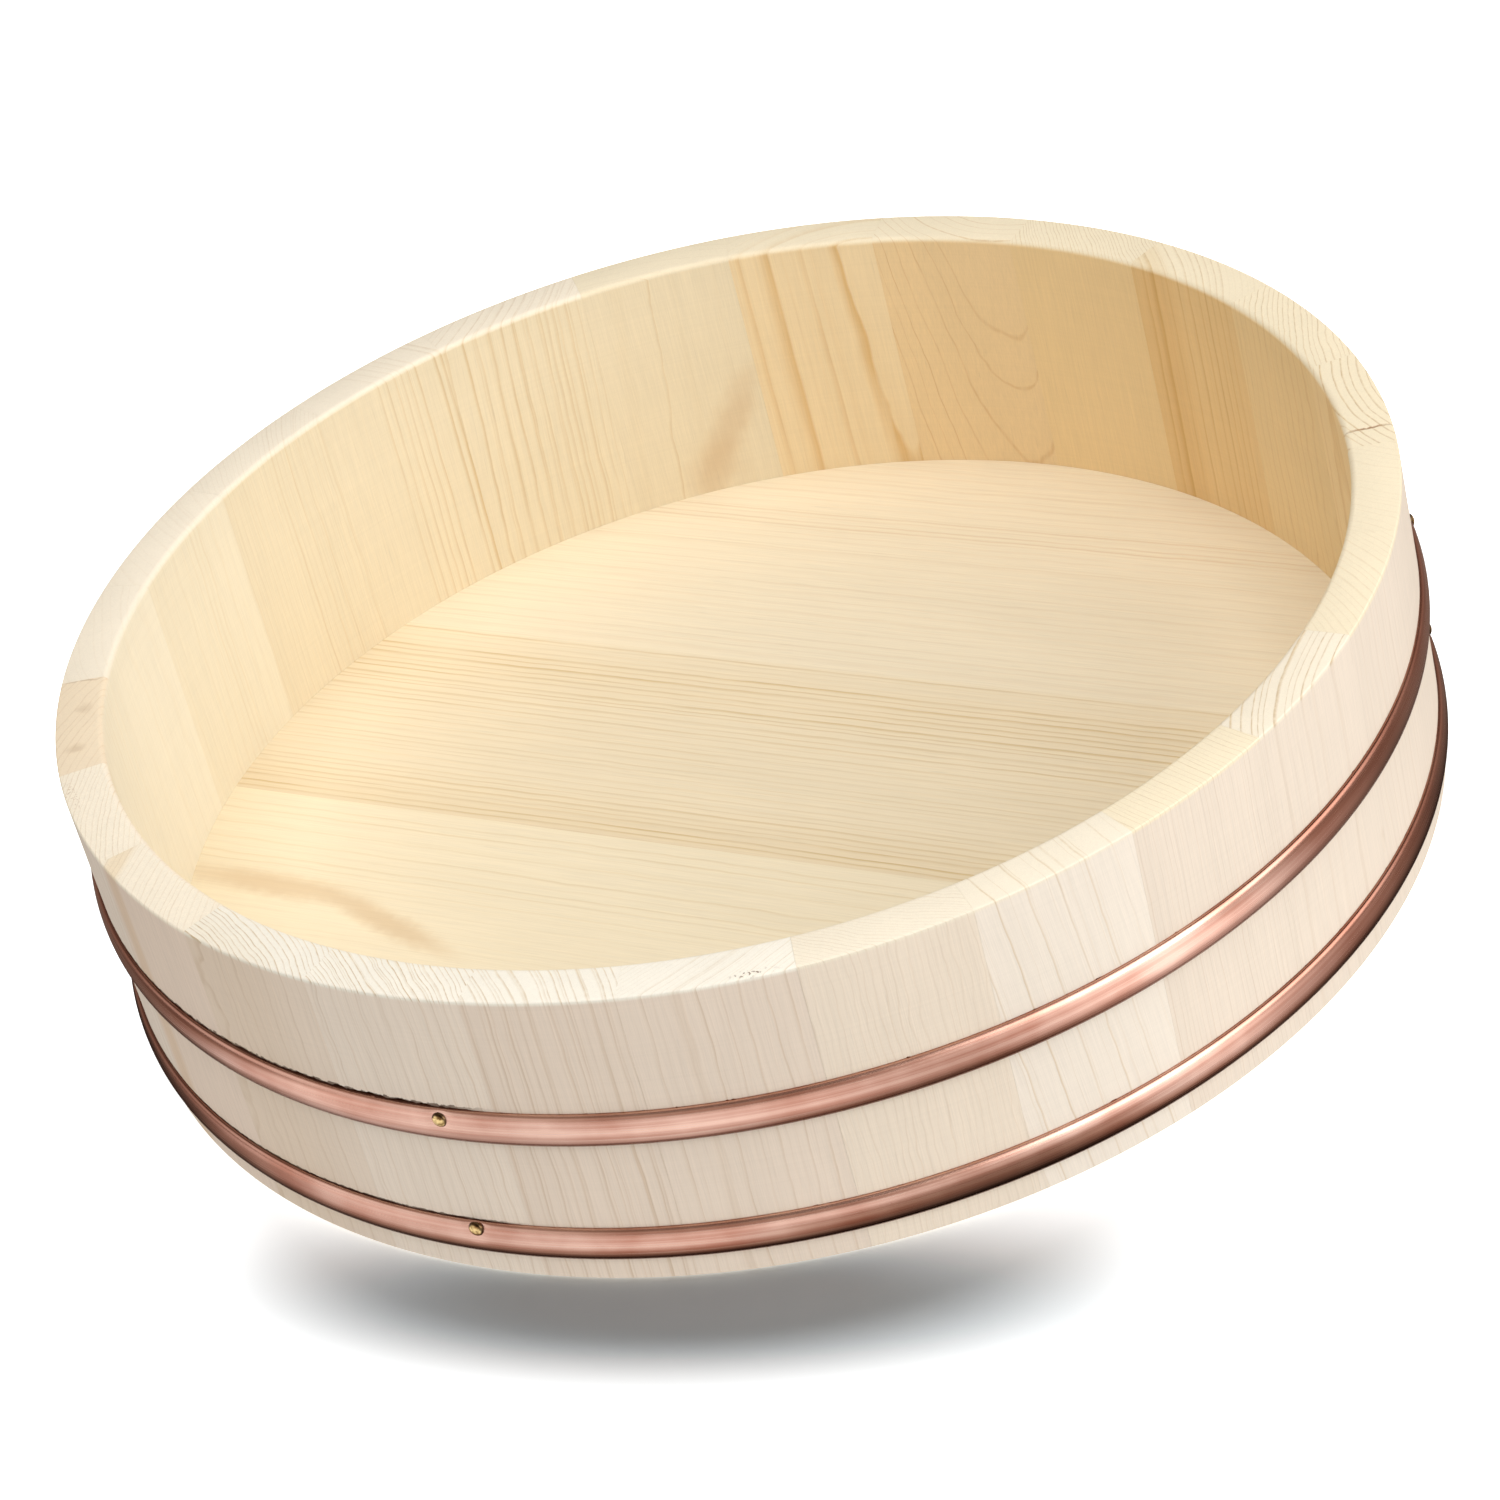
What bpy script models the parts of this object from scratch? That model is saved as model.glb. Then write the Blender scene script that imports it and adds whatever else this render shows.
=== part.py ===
"""Sushi rice tub: a round, straight-sided tub of softwood staves round a boarded floor.

Twenty-five staves stand side by side. Their lower ends are grooved for the floor, whose four
edge-joined boards end in a thinner, tapered tongue all round. Two copper hoops of half-oval strip lie in
shallow grooves turned into the outside, and brass nails keep them from slipping when the wood
dries and shrinks. Metres, +Z up, the origin on the ground at the middle of the foot. The floor
boards run along X, and the front nails face -Y.
"""
import math

import bmesh
import bpy
from mathutils import Matrix

# Tub wall
OUTER_RADIUS = 0.165
HEIGHT = 0.080
RIM_WALL = 0.0120
FOOT_WALL = 0.0108
RIM_INSIDE_ROUND = 0.0016
RIM_OUTSIDE_ROUND = 0.0006
FOOT_CHAMFER = 0.0010

# Outside widths of the staves, as the boards gave them, anticlockwise from the first joint.
# They are scaled together to close the circle.
STAVE_WIDTHS = (
    0.0415, 0.0390, 0.0435, 0.0450, 0.0415, 0.0420, 0.0430, 0.0430, 0.0440, 0.0445,
    0.0420, 0.0425, 0.0440, 0.0430, 0.0415, 0.0420, 0.0405, 0.0395, 0.0400, 0.0360,
    0.0395, 0.0395, 0.0395, 0.0395, 0.0405,
)
FIRST_JOINT_ANGLE = -1.0
FACET_ANGLE = 2.5

# Floor, with its underside a little above the ground
FLOOR_RECESS = 0.0020
FLOOR_THICKNESS = 0.0070
TONGUE_THICKNESS = 0.0040
TONGUE_LENGTH = 0.0035
TONGUE_TAPER = 0.0004
FLOOR_SEAMS = (-0.0980, -0.0225, 0.0540)
FLOOR_FACETS = 96

# Hoops
HOOP_WIDTH = 0.0088
HOOP_SEAT = 0.0008
HOOP_EDGE = 0.0003
HOOP_PROUD = 0.0018
UPPER_HOOP_HEIGHT = 0.0442
LOWER_HOOP_HEIGHT = 0.0110
HOOP_FACETS = 120
HOOP_CROWN_POINTS = 7

# Nails, driven level and square to the wall, above the middle of each hoop
NAIL_COUNT = 3
NAIL_ANGLE = 272.9
UPPER_NAIL_RISE = 0.0018
LOWER_NAIL_RISE = 0.0028
NAIL_HEAD_RADIUS = 0.0016
NAIL_HEAD_HEIGHT = 0.0009
NAIL_SHANK_RADIUS = 0.0007
NAIL_LENGTH = 0.0085
NAIL_POINT = 0.0016
NAIL_FACETS = 12
DISH_MARGIN = 0.0006
DISH_PROUD = 0.0010

# Clearance between pieces that touch
FIT = 0.0003

FLOOR_TOP = FLOOR_RECESS + FLOOR_THICKNESS

# Colours from the photograph, linear
PALE_SPRUCE = (0.76, 0.62, 0.42)
WARM_SPRUCE = (0.72, 0.56, 0.35)
LIGHT_SPRUCE = (0.80, 0.68, 0.50)
COPPER = (0.72, 0.36, 0.25)
BRASS = (0.60, 0.46, 0.22)


def clear_scene():
    for item in list(bpy.data.objects):
        bpy.data.objects.remove(item)


def make_material(name, colour, roughness, metallic):
    material = bpy.data.materials.new(name)
    material.use_nodes = True
    shader = material.node_tree.nodes["Principled BSDF"]
    shader.inputs["Base Color"].default_value = (*colour, 1.0)
    shader.inputs["Roughness"].default_value = roughness
    shader.inputs["Metallic"].default_value = metallic
    return material


def add_object(name, bm, material, smooth=False):
    bmesh.ops.recalc_face_normals(bm, faces=bm.faces)
    mesh = bpy.data.meshes.new(name)
    bm.to_mesh(mesh)
    bm.free()
    if smooth:
        mesh.shade_smooth()
        mesh.set_sharp_from_angle(angle=math.radians(35))
    mesh.materials.append(material)
    item = bpy.data.objects.new(name, mesh)
    bpy.context.collection.objects.link(item)
    return item


def add_cut(item, cutter):
    cut = item.modifiers.new("cut_" + cutter.name, "BOOLEAN")
    cut.operation = "DIFFERENCE"
    cut.object = cutter


def inner_radius(height):
    """Radius of the inside of the wall: it is turned a little wider towards the floor."""
    wall = FOOT_WALL + (RIM_WALL - FOOT_WALL) * height / HEIGHT
    return OUTER_RADIUS - wall


def profile_loop(bm, points, angle):
    """A closed loop of edges through (radius, height) points, standing at an angle about Z."""
    c = math.cos(angle)
    s = math.sin(angle)
    verts = [bm.verts.new((r * c, r * s, z)) for r, z in points]
    edges = [bm.edges.new((verts[i - 1], verts[i])) for i in range(len(verts))]
    return verts, edges


def hoop_groove(height):
    """The four corners of a hoop's seat in the outside of the wall, from its lower side up."""
    low = height - HOOP_WIDTH / 2 - FIT
    high = height + HOOP_WIDTH / 2 + FIT
    bed = OUTER_RADIUS - HOOP_SEAT - FIT
    return [(OUTER_RADIUS, low), (bed, low), (bed, high), (OUTER_RADIUS, high)]


def stave_profile():
    """Upright section of a stave: foot, hoop seats, rounded rim, inside face and floor groove."""
    points = [(OUTER_RADIUS - FOOT_CHAMFER, 0), (OUTER_RADIUS, FOOT_CHAMFER)]
    points += hoop_groove(LOWER_HOOP_HEIGHT)
    points += hoop_groove(UPPER_HOOP_HEIGHT)
    points += [(OUTER_RADIUS, HEIGHT - RIM_OUTSIDE_ROUND), (OUTER_RADIUS - RIM_OUTSIDE_ROUND, HEIGHT)]
    round_centre = inner_radius(HEIGHT) + RIM_INSIDE_ROUND
    for step in range(4):
        turn = math.radians(90 + 30 * step)
        r = round_centre + RIM_INSIDE_ROUND * math.cos(turn)
        z = HEIGHT - RIM_INSIDE_ROUND + RIM_INSIDE_ROUND * math.sin(turn)
        points.append((r, z))
    groove_top = FLOOR_TOP + FIT
    groove_bottom = FLOOR_TOP - TONGUE_THICKNESS - FIT
    groove_bed = inner_radius(FLOOR_TOP) + TONGUE_LENGTH + FIT
    points += [(inner_radius(groove_top), groove_top), (groove_bed, groove_top - TONGUE_TAPER)]
    points += [(groove_bed, groove_bottom), (inner_radius(groove_bottom), groove_bottom)]
    points += [(inner_radius(0), FOOT_CHAMFER), (inner_radius(0) + FOOT_CHAMFER, 0)]
    return points


def stave_spans():
    """Start and end angle of each stave, in radians."""
    total = sum(STAVE_WIDTHS)
    start = math.radians(FIRST_JOINT_ANGLE)
    spans = []
    for width in STAVE_WIDTHS:
        end = start + 2 * math.pi * width / total
        spans.append((start, end))
        start = end
    return spans


def make_stave(name, span, material):
    half_joint = FIT / 2 / OUTER_RADIUS
    start = span[0] + half_joint
    sweep = span[1] - span[0] - 2 * half_joint
    steps = math.ceil(sweep / math.radians(FACET_ANGLE))
    bm = bmesh.new()
    verts, edges = profile_loop(bm, stave_profile(), start)
    swept = bmesh.ops.spin(bm, geom=verts + edges, cent=(0, 0, 0), axis=(0, 0, 1), angle=sweep,
                           steps=steps)
    end_edges = [part for part in swept["geom_last"] if isinstance(part, bmesh.types.BMEdge)]
    for loop in (edges, end_edges):
        bmesh.ops.contextual_create(bm, geom=loop)
    return add_object(name, bm, material)


def make_floor_disc(bm):
    """The whole floor as a disc: its flat top grows outwards and down, ring by ring, to its underside."""
    radius = inner_radius(FLOOR_TOP) - FIT
    height = FLOOR_TOP
    tongue_radius = inner_radius(FLOOR_TOP) + TONGUE_LENGTH
    tongue_bottom = FLOOR_TOP - TONGUE_THICKNESS
    body_radius = inner_radius(tongue_bottom) - FIT
    rings = [
        (tongue_radius, FLOOR_TOP - TONGUE_TAPER),
        (tongue_radius, tongue_bottom),
        (body_radius, tongue_bottom),
        (body_radius, FLOOR_RECESS),
    ]
    place = Matrix.Translation((0, 0, height))
    bmesh.ops.create_circle(bm, cap_ends=True, segments=FLOOR_FACETS, radius=radius, matrix=place)
    edges = bm.edges[:]
    for next_radius, next_height in rings:
        grown = bmesh.ops.extrude_edge_only(bm, edges=edges)["geom"]
        edges = [part for part in grown if isinstance(part, bmesh.types.BMEdge)]
        verts = [part for part in grown if isinstance(part, bmesh.types.BMVert)]
        bmesh.ops.scale(bm, vec=(next_radius / radius, next_radius / radius, 1), verts=verts)
        bmesh.ops.translate(bm, vec=(0, 0, next_height - height), verts=verts)
        radius = next_radius
        height = next_height
    bmesh.ops.contextual_create(bm, geom=edges)
    bmesh.ops.recalc_face_normals(bm, faces=bm.faces)


def cut_side(bm, y, keep_above):
    """Cut the floor along a seam with the plane at y, and close the cut."""
    normal = (0, -1, 0) if keep_above else (0, 1, 0)
    geom = bm.verts[:] + bm.edges[:] + bm.faces[:]
    cut = bmesh.ops.bisect_plane(bm, geom=geom, dist=1e-7, plane_co=(0, y, 0), plane_no=normal,
                                 clear_outer=True)
    cut_edges = [part for part in cut["geom_cut"] if isinstance(part, bmesh.types.BMEdge)]
    bmesh.ops.holes_fill(bm, edges=cut_edges, sides=0)


def make_floor_board(name, front, back, material):
    bm = bmesh.new()
    make_floor_disc(bm)
    if front is not None:
        cut_side(bm, front + FIT / 2, keep_above=True)
    if back is not None:
        cut_side(bm, back - FIT / 2, keep_above=False)
    return add_object(name, bm, material)


def make_hoop(name, height, material):
    """Half-oval strip bent into a ring: flat back in the wall's seat, crowned face outside."""
    back = OUTER_RADIUS - HOOP_SEAT
    edge = OUTER_RADIUS + HOOP_EDGE
    crown = HOOP_PROUD - HOOP_EDGE
    points = [(back, height + HOOP_WIDTH / 2), (back, height - HOOP_WIDTH / 2)]
    for step in range(HOOP_CROWN_POINTS):
        turn = math.pi * (step / (HOOP_CROWN_POINTS - 1) - 0.5)
        points.append((edge + crown * math.cos(turn), height + HOOP_WIDTH / 2 * math.sin(turn)))
    bm = bmesh.new()
    verts, edges = profile_loop(bm, points, 0)
    bmesh.ops.spin(bm, geom=verts + edges, cent=(0, 0, 0), axis=(0, 0, 1), angle=2 * math.pi,
                   steps=HOOP_FACETS, use_merge=True)
    return add_object(name, bm, material, smooth=True)


def turn_about_nail_axis(points, facets):
    """Turn (distance out, radius) points about the X axis; the first and last lie on it."""
    bm = bmesh.new()
    verts = [bm.verts.new((out, 0, radius)) for out, radius in points]
    edges = [bm.edges.new(pair) for pair in zip(verts, verts[1:])]
    bmesh.ops.spin(bm, geom=verts + edges, cent=(0, 0, 0), axis=(1, 0, 0), angle=2 * math.pi,
                   steps=facets, use_merge=True)
    bmesh.ops.remove_doubles(bm, verts=bm.verts, dist=1e-6)
    return bm


def nail_place(angle, height):
    """Where a nail's head seats on its hoop: the X axis of this place points out of the wall."""
    return Matrix.Rotation(angle, 4, "Z") @ Matrix.Translation((OUTER_RADIUS + DISH_PROUD, 0, height))


def make_nail(name, angle, height, material):
    head_under = FIT
    head_top = head_under + NAIL_HEAD_HEIGHT
    points = [(head_under - NAIL_LENGTH, 0), (head_under - NAIL_LENGTH + NAIL_POINT, NAIL_SHANK_RADIUS)]
    points += [(head_under, NAIL_SHANK_RADIUS), (head_under, NAIL_HEAD_RADIUS)]
    for step in (1, 2):
        turn = math.radians(30 * step)
        points.append((head_under + NAIL_HEAD_HEIGHT * math.sin(turn), NAIL_HEAD_RADIUS * math.cos(turn)))
    points.append((head_top, 0))
    nail = add_object(name, turn_about_nail_axis(points, NAIL_FACETS), material, smooth=True)
    nail.matrix_world = nail_place(angle, height)
    return nail


def make_nail_cutter(name, angle, height):
    """The nail's hole through hoop and wood, with the dish that its head flattens in the hoop."""
    hole = NAIL_SHANK_RADIUS + FIT
    dish = NAIL_HEAD_RADIUS + DISH_MARGIN
    outside = HOOP_PROUD + NAIL_HEAD_HEIGHT
    points = [(-NAIL_LENGTH, 0), (-NAIL_LENGTH, hole), (0, hole), (0, dish), (outside, dish), (outside, 0)]
    bm = turn_about_nail_axis(points, NAIL_FACETS)
    bmesh.ops.recalc_face_normals(bm, faces=bm.faces)
    mesh = bpy.data.meshes.new(name)
    bm.to_mesh(mesh)
    bm.free()
    cutter = bpy.data.objects.new(name, mesh)
    bpy.context.collection.objects.link(cutter)
    cutter.matrix_world = nail_place(angle, height)
    cutter.hide_render = True
    cutter.display_type = "WIRE"
    return cutter


def nail_meets(span, angle):
    """True where a nail's hole lies in a stave's span, or reaches over its joint."""
    margin = (NAIL_SHANK_RADIUS + FIT) / inner_radius(HEIGHT)
    middle = (span[0] + span[1]) / 2
    half = (span[1] - span[0]) / 2
    away = (angle - middle + math.pi) % (2 * math.pi) - math.pi
    return abs(away) < half + margin


def build():
    clear_scene()
    woods = [
        make_material("spruce_pale", PALE_SPRUCE, 0.6, 0.0),
        make_material("spruce_warm", WARM_SPRUCE, 0.6, 0.0),
        make_material("spruce_light", LIGHT_SPRUCE, 0.6, 0.0),
    ]
    copper = make_material("copper", COPPER, 0.3, 1.0)
    brass = make_material("brass", BRASS, 0.3, 1.0)

    hoops = {
        "upper": (UPPER_HOOP_HEIGHT, UPPER_NAIL_RISE),
        "lower": (LOWER_HOOP_HEIGHT, LOWER_NAIL_RISE),
    }
    nail_angles = [math.radians(NAIL_ANGLE + 360 * turn / NAIL_COUNT) for turn in range(NAIL_COUNT)]
    cutters = []
    for level, (height, rise) in hoops.items():
        hoop = make_hoop(level + "_hoop", height, copper)
        for number, angle in enumerate(nail_angles, start=1):
            make_nail(f"{level}_nail_{number}", angle, height + rise, brass)
            cutter = make_nail_cutter(f"{level}_nail_hole_{number}", angle, height + rise)
            add_cut(hoop, cutter)
            cutters.append((angle, cutter))

    for number, span in enumerate(stave_spans(), start=1):
        stave = make_stave(f"stave_{number:02d}", span, woods[number % len(woods)])
        for angle, cutter in cutters:
            if nail_meets(span, angle):
                add_cut(stave, cutter)

    edges = [None, *FLOOR_SEAMS, None]
    for number, (front, back) in enumerate(zip(edges, edges[1:]), start=1):
        make_floor_board(f"floor_board_{number}", front, back, woods[(number + 1) % len(woods)])


build()
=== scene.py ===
import math

import bpy
from mathutils import Euler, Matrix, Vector, noise


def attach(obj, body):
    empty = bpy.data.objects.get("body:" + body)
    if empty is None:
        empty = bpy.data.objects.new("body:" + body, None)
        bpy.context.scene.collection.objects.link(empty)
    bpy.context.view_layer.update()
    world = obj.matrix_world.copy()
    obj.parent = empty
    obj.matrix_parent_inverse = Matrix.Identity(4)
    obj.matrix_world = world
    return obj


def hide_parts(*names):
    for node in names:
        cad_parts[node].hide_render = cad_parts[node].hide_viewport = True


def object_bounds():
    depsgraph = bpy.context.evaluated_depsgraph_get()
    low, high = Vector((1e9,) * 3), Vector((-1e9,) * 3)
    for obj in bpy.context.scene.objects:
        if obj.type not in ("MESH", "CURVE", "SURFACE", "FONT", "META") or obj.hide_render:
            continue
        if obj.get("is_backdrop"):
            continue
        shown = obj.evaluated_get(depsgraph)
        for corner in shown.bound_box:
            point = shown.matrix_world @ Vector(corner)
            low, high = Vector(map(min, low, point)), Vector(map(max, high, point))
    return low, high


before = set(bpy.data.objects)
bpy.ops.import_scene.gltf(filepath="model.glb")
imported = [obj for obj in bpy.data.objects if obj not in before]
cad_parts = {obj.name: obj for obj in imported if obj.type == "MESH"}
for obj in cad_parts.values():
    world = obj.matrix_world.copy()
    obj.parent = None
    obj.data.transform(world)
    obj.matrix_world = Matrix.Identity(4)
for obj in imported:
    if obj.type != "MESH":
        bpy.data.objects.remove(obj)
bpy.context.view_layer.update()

# Staves
# Twenty-five upright boards of bare spruce, planed to radial joints and glued edge to edge. The
# glued wall was then turned inside and out, grooved for the hoops and for the floor, and its rim
# sanded round on the inside. Each stave keeps the grain of the board that it was cut from.
OUTER_RADIUS = 0.165
RIM_INNER_RADIUS = 0.153
FOOT_INNER_RADIUS = 0.1542
WALL_HEIGHT = 0.080
HOOP_SEATS = ((0.00658, 0.01542), (0.03978, 0.04862))
SEAT_BED_RADIUS = 0.1639
CROZE = (0.0047, 0.00903)
CROZE_BED_RADIUS = 0.1579
RIM_INSIDE_ROUND = 0.0016
RIM_OUTSIDE_ROUND = 0.0006
FOOT_OUTSIDE_ROUND = 0.0010
FOOT_INSIDE_ROUND = 0.0008
LIP_ROUND = 0.0001
ARC_STEP = 0.0004
GLUE_ANGLE = 0.0008
TORN_SIDE = 248
TORN_SPAN = 29
TORN_SHARES = (0.4, 1.0)
TORN_HEIGHT = 0.0008
CHIP_DEPTH = 0.0005
CRACK_ANGLE = 29.7
CRACK_HALF_WIDTH = 0.0005
CRACK_HEIGHT = 0.0012
CRACK_DEPTH = 0.0002


def pick(kind, test):
    """Select the points, edges or faces of the piece in edit mode whose middle passes the test."""
    piece = bpy.context.active_object
    bpy.ops.mesh.select_mode(type=kind)
    bpy.ops.mesh.select_all(action="DESELECT")
    bpy.ops.object.mode_set(mode="OBJECT")
    mesh = piece.data
    if kind == "VERT":
        for vertex in mesh.vertices:
            vertex.select = test(vertex.co)
    elif kind == "EDGE":
        for edge in mesh.edges:
            a, b = (mesh.vertices[i].co for i in edge.vertices)
            edge.select = test((a + b) / 2)
    else:
        for face in mesh.polygons:
            face.select = test(face.center)
    bpy.ops.object.mode_set(mode="EDIT")


def pick_all():
    bpy.ops.mesh.select_all(action="SELECT")


def slice_through(point, normal, **cut):
    """Cut the whole of the piece in edit mode through a plane."""
    pick_all()
    bpy.ops.mesh.bisect(plane_co=point, plane_no=normal, **cut)


def round_corner(radius, height, reach, offset, segments):
    """Round the corners of a section that lie within reach of a radius and height."""
    pick("VERT", lambda p: math.hypot(p.x - radius, p.z - height) < reach)
    bpy.ops.mesh.bevel(offset=offset, offset_pct=0, segments=segments, affect="VERTICES")


def take_copy(model, name):
    """A copy of a modelled piece with its own mesh, selected and active."""
    bpy.ops.object.select_all(action="DESELECT")
    piece = model.copy()
    piece.data = model.data.copy()
    piece.name = name
    bpy.context.scene.collection.objects.link(piece)
    piece.select_set(True)
    bpy.context.view_layer.objects.active = piece
    return piece


bpy.ops.object.select_all(action="DESELECT")
bpy.ops.mesh.primitive_plane_add(
    size=1,
    location=((OUTER_RADIUS + RIM_INNER_RADIUS) / 2, 0, WALL_HEIGHT / 2),
    rotation=(math.pi / 2, 0, 0),
)
stave_section = bpy.context.active_object
stave_section.name = "stave_section"
stave_section.scale = (OUTER_RADIUS - RIM_INNER_RADIUS, WALL_HEIGHT, 1)
bpy.ops.object.transform_apply(location=True, rotation=True, scale=True)
bpy.ops.object.mode_set(mode="EDIT")
pick("VERT", lambda p: p.x < FOOT_INNER_RADIUS and p.z < 0.001)
bpy.ops.transform.translate(value=(FOOT_INNER_RADIUS - RIM_INNER_RADIUS, 0, 0))
for low, high in (*HOOP_SEATS, CROZE):
    slice_through((0, 0, low), (0, 0, 1))
    slice_through((0, 0, high), (0, 0, 1))
slice_through((SEAT_BED_RADIUS, 0, 0), (1, 0, 0))
slice_through((CROZE_BED_RADIUS, 0, 0), (1, 0, 0))
pick("FACE", lambda p: p.x > SEAT_BED_RADIUS and any(low < p.z < high for low, high in HOOP_SEATS))
bpy.ops.mesh.delete(type="FACE")
pick("FACE", lambda p: p.x < CROZE_BED_RADIUS and CROZE[0] < p.z < CROZE[1])
bpy.ops.mesh.delete(type="FACE")
pick_all()
bpy.ops.mesh.dissolve_limited(angle_limit=math.radians(0.4))
round_corner(RIM_INNER_RADIUS, WALL_HEIGHT, 0.0005, RIM_INSIDE_ROUND, 6)
round_corner(OUTER_RADIUS, WALL_HEIGHT, 0.0005, RIM_OUTSIDE_ROUND, 3)
round_corner(OUTER_RADIUS, 0, 0.0005, FOOT_OUTSIDE_ROUND, 3)
round_corner(FOOT_INNER_RADIUS, 0, 0.0005, FOOT_INSIDE_ROUND, 2)
for low, high in HOOP_SEATS:
    round_corner(OUTER_RADIUS, low, 0.0002, LIP_ROUND, 1)
    round_corner(OUTER_RADIUS, high, 0.0002, LIP_ROUND, 1)
bpy.ops.object.mode_set(mode="OBJECT")


def span_of(node):
    """The angles about the tub's axis where a stave's CAD node starts and ends."""
    points = [vertex.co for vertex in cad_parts[node].data.vertices]
    middle = math.atan2(sum(p.y for p in points), sum(p.x for p in points))
    turns = [(math.atan2(p.y, p.x) - middle + math.pi) % (2 * math.pi) - math.pi for p in points]
    return middle + min(turns), middle + max(turns)


def turn_stave(name, start, end):
    """Turn the wall's section about the tub's axis from one joint to the next."""
    stave = take_copy(stave_section, name)
    stave.rotation_euler.z = start
    bpy.ops.object.transform_apply(location=True, rotation=True, scale=True)
    bpy.ops.object.mode_set(mode="EDIT")
    pick_all()
    steps = max(8, round((end - start) * OUTER_RADIUS / ARC_STEP))
    bpy.ops.mesh.spin(steps=steps, angle=end - start, center=(0, 0, 0), axis=(0, 0, -1))
    pick_all()
    bpy.ops.mesh.normals_make_consistent(inside=False)
    bpy.ops.object.mode_set(mode="OBJECT")
    return stave


def chip_lips(stave):
    """Tear the wood along the lips of the hoop seats, where the turning tool broke out the grain:
    in a ragged row on the tub's left, in single chips elsewhere."""
    for vertex in stave.data.vertices:
        p = vertex.co
        if math.hypot(p.x, p.y) < OUTER_RADIUS - 0.0006:
            continue
        from_side = abs(math.degrees(math.atan2(p.y, p.x)) % 360 - TORN_SIDE)
        row = max(0.0, min(1.0, (TORN_SPAN - from_side) / 5))
        for (low, high), share in zip(HOOP_SEATS, TORN_SHARES):
            if abs(p.z - high) < 2 * LIP_ROUND:
                much = row * share
                lip = Vector((p.x, p.y, high))
                torn = noise.noise(lip * 420) * 0.8 + noise.noise(lip * 1400) * 0.5
                p.z += TORN_HEIGHT * max(0.0, (0.55 + torn) * much, torn - 0.42)
            elif abs(p.z - low) < 2 * LIP_ROUND:
                torn = noise.noise(Vector((p.x, p.y, low)) * 530) - 0.30
                p.z -= CHIP_DEPTH * max(0.0, torn)


def split_rim(stave, angle):
    """Open a short crack across the rim."""
    for vertex in stave.data.vertices:
        p = vertex.co
        away = abs(math.atan2(p.y, p.x) - angle) * OUTER_RADIUS
        if p.z > WALL_HEIGHT - CRACK_HEIGHT and away < CRACK_HALF_WIDTH:
            p.z -= CRACK_DEPTH * (1 - away / CRACK_HALF_WIDTH)


def new_finish(name):
    """A new material with its node tree and its shader."""
    material = bpy.data.materials.new(name)
    material.use_nodes = True
    return material, material.node_tree, material.node_tree.nodes["Principled BSDF"]


def put(tree, kind, inputs=None, **settings):
    """Add a shader node. Its inputs are numbers, or other nodes' outputs to join to."""
    new = tree.nodes.new("ShaderNode" + kind)
    for key, value in settings.items():
        setattr(new, key, value)
    for key, value in (inputs or {}).items():
        if isinstance(value, bpy.types.NodeSocket):
            tree.links.new(value, new.inputs[key])
        else:
            new.inputs[key].default_value = value
    return new


def sums(tree, operation, *values):
    """The result of a Math node on numbers or other nodes' outputs."""
    return put(tree, "Math", dict(enumerate(values)), operation=operation).outputs[0]


def step_up(tree, value, low, high, lowest=0.0, highest=1.0):
    """A smooth step of a value from one level to another."""
    inputs = {"Value": value, "From Min": low, "From Max": high, "To Min": lowest, "To Max": highest}
    return put(tree, "MapRange", inputs, interpolation_type="SMOOTHSTEP").outputs["Result"]


def blended(tree, share, first, second):
    """One colour turning into another by a share from 0 to 1."""
    return put(tree, "MixRGB", {"Fac": share, "Color1": first, "Color2": second}).outputs[0]


def scaled(tree, vector, amount):
    """A colour or a place multiplied by one number."""
    return put(tree, "VectorMath", {0: vector, "Scale": amount}, operation="SCALE").outputs[0]


def length_of(tree, place):
    """How far a place lies from the origin."""
    return put(tree, "VectorMath", {0: place}, operation="LENGTH").outputs["Value"]


def toward(tree, place, way):
    """How far a place lies along a direction."""
    return put(tree, "VectorMath", {0: place, 1: way}, operation="DOT_PRODUCT").outputs["Value"]


def mottle(tree, place, scale, detail=2.0, roughness=0.5):
    """A cloudy noise, finer with a larger scale."""
    inputs = {"Vector": place, "Scale": scale, "Detail": detail, "Roughness": roughness}
    return put(tree, "TexNoise", inputs).outputs["Fac"]


def ramped(tree, share, points):
    """A value that changes with a share from 0 to 1, from (share, value) points in rising order."""
    ramp = put(tree, "ValToRGB", {"Fac": share})
    elements = ramp.color_ramp.elements
    elements.remove(elements[1])
    for count, (position, value) in enumerate(points):
        element = elements[0] if count == 0 else elements.new(position)
        element.position = position
        element.color = (value, value, value, 1)
    return ramp.outputs["Color"]


def stretched(tree, place, scale):
    """A place scaled unevenly, so that a noise read there runs along the grain."""
    return put(tree, "VectorMath", {0: place, 1: scale}, operation="MULTIPLY").outputs[0]


def grain_noise(tree, place, scale, detail=2.0, roughness=0.5):
    """A noise drawn out along the grain."""
    return mottle(tree, stretched(tree, place, scale), 1.0, detail, roughness)


def by_age(tree, age, points):
    """A value that changes with the age of the wood, from (age, value) points in rising order."""
    first, last = points[0][0], points[-1][0]
    share = put(tree, "MapRange", {"Value": age, "From Min": first, "From Max": last}).outputs["Result"]
    return ramped(tree, share, [((at - first) / (last - first), value) for at, value in points])


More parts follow.
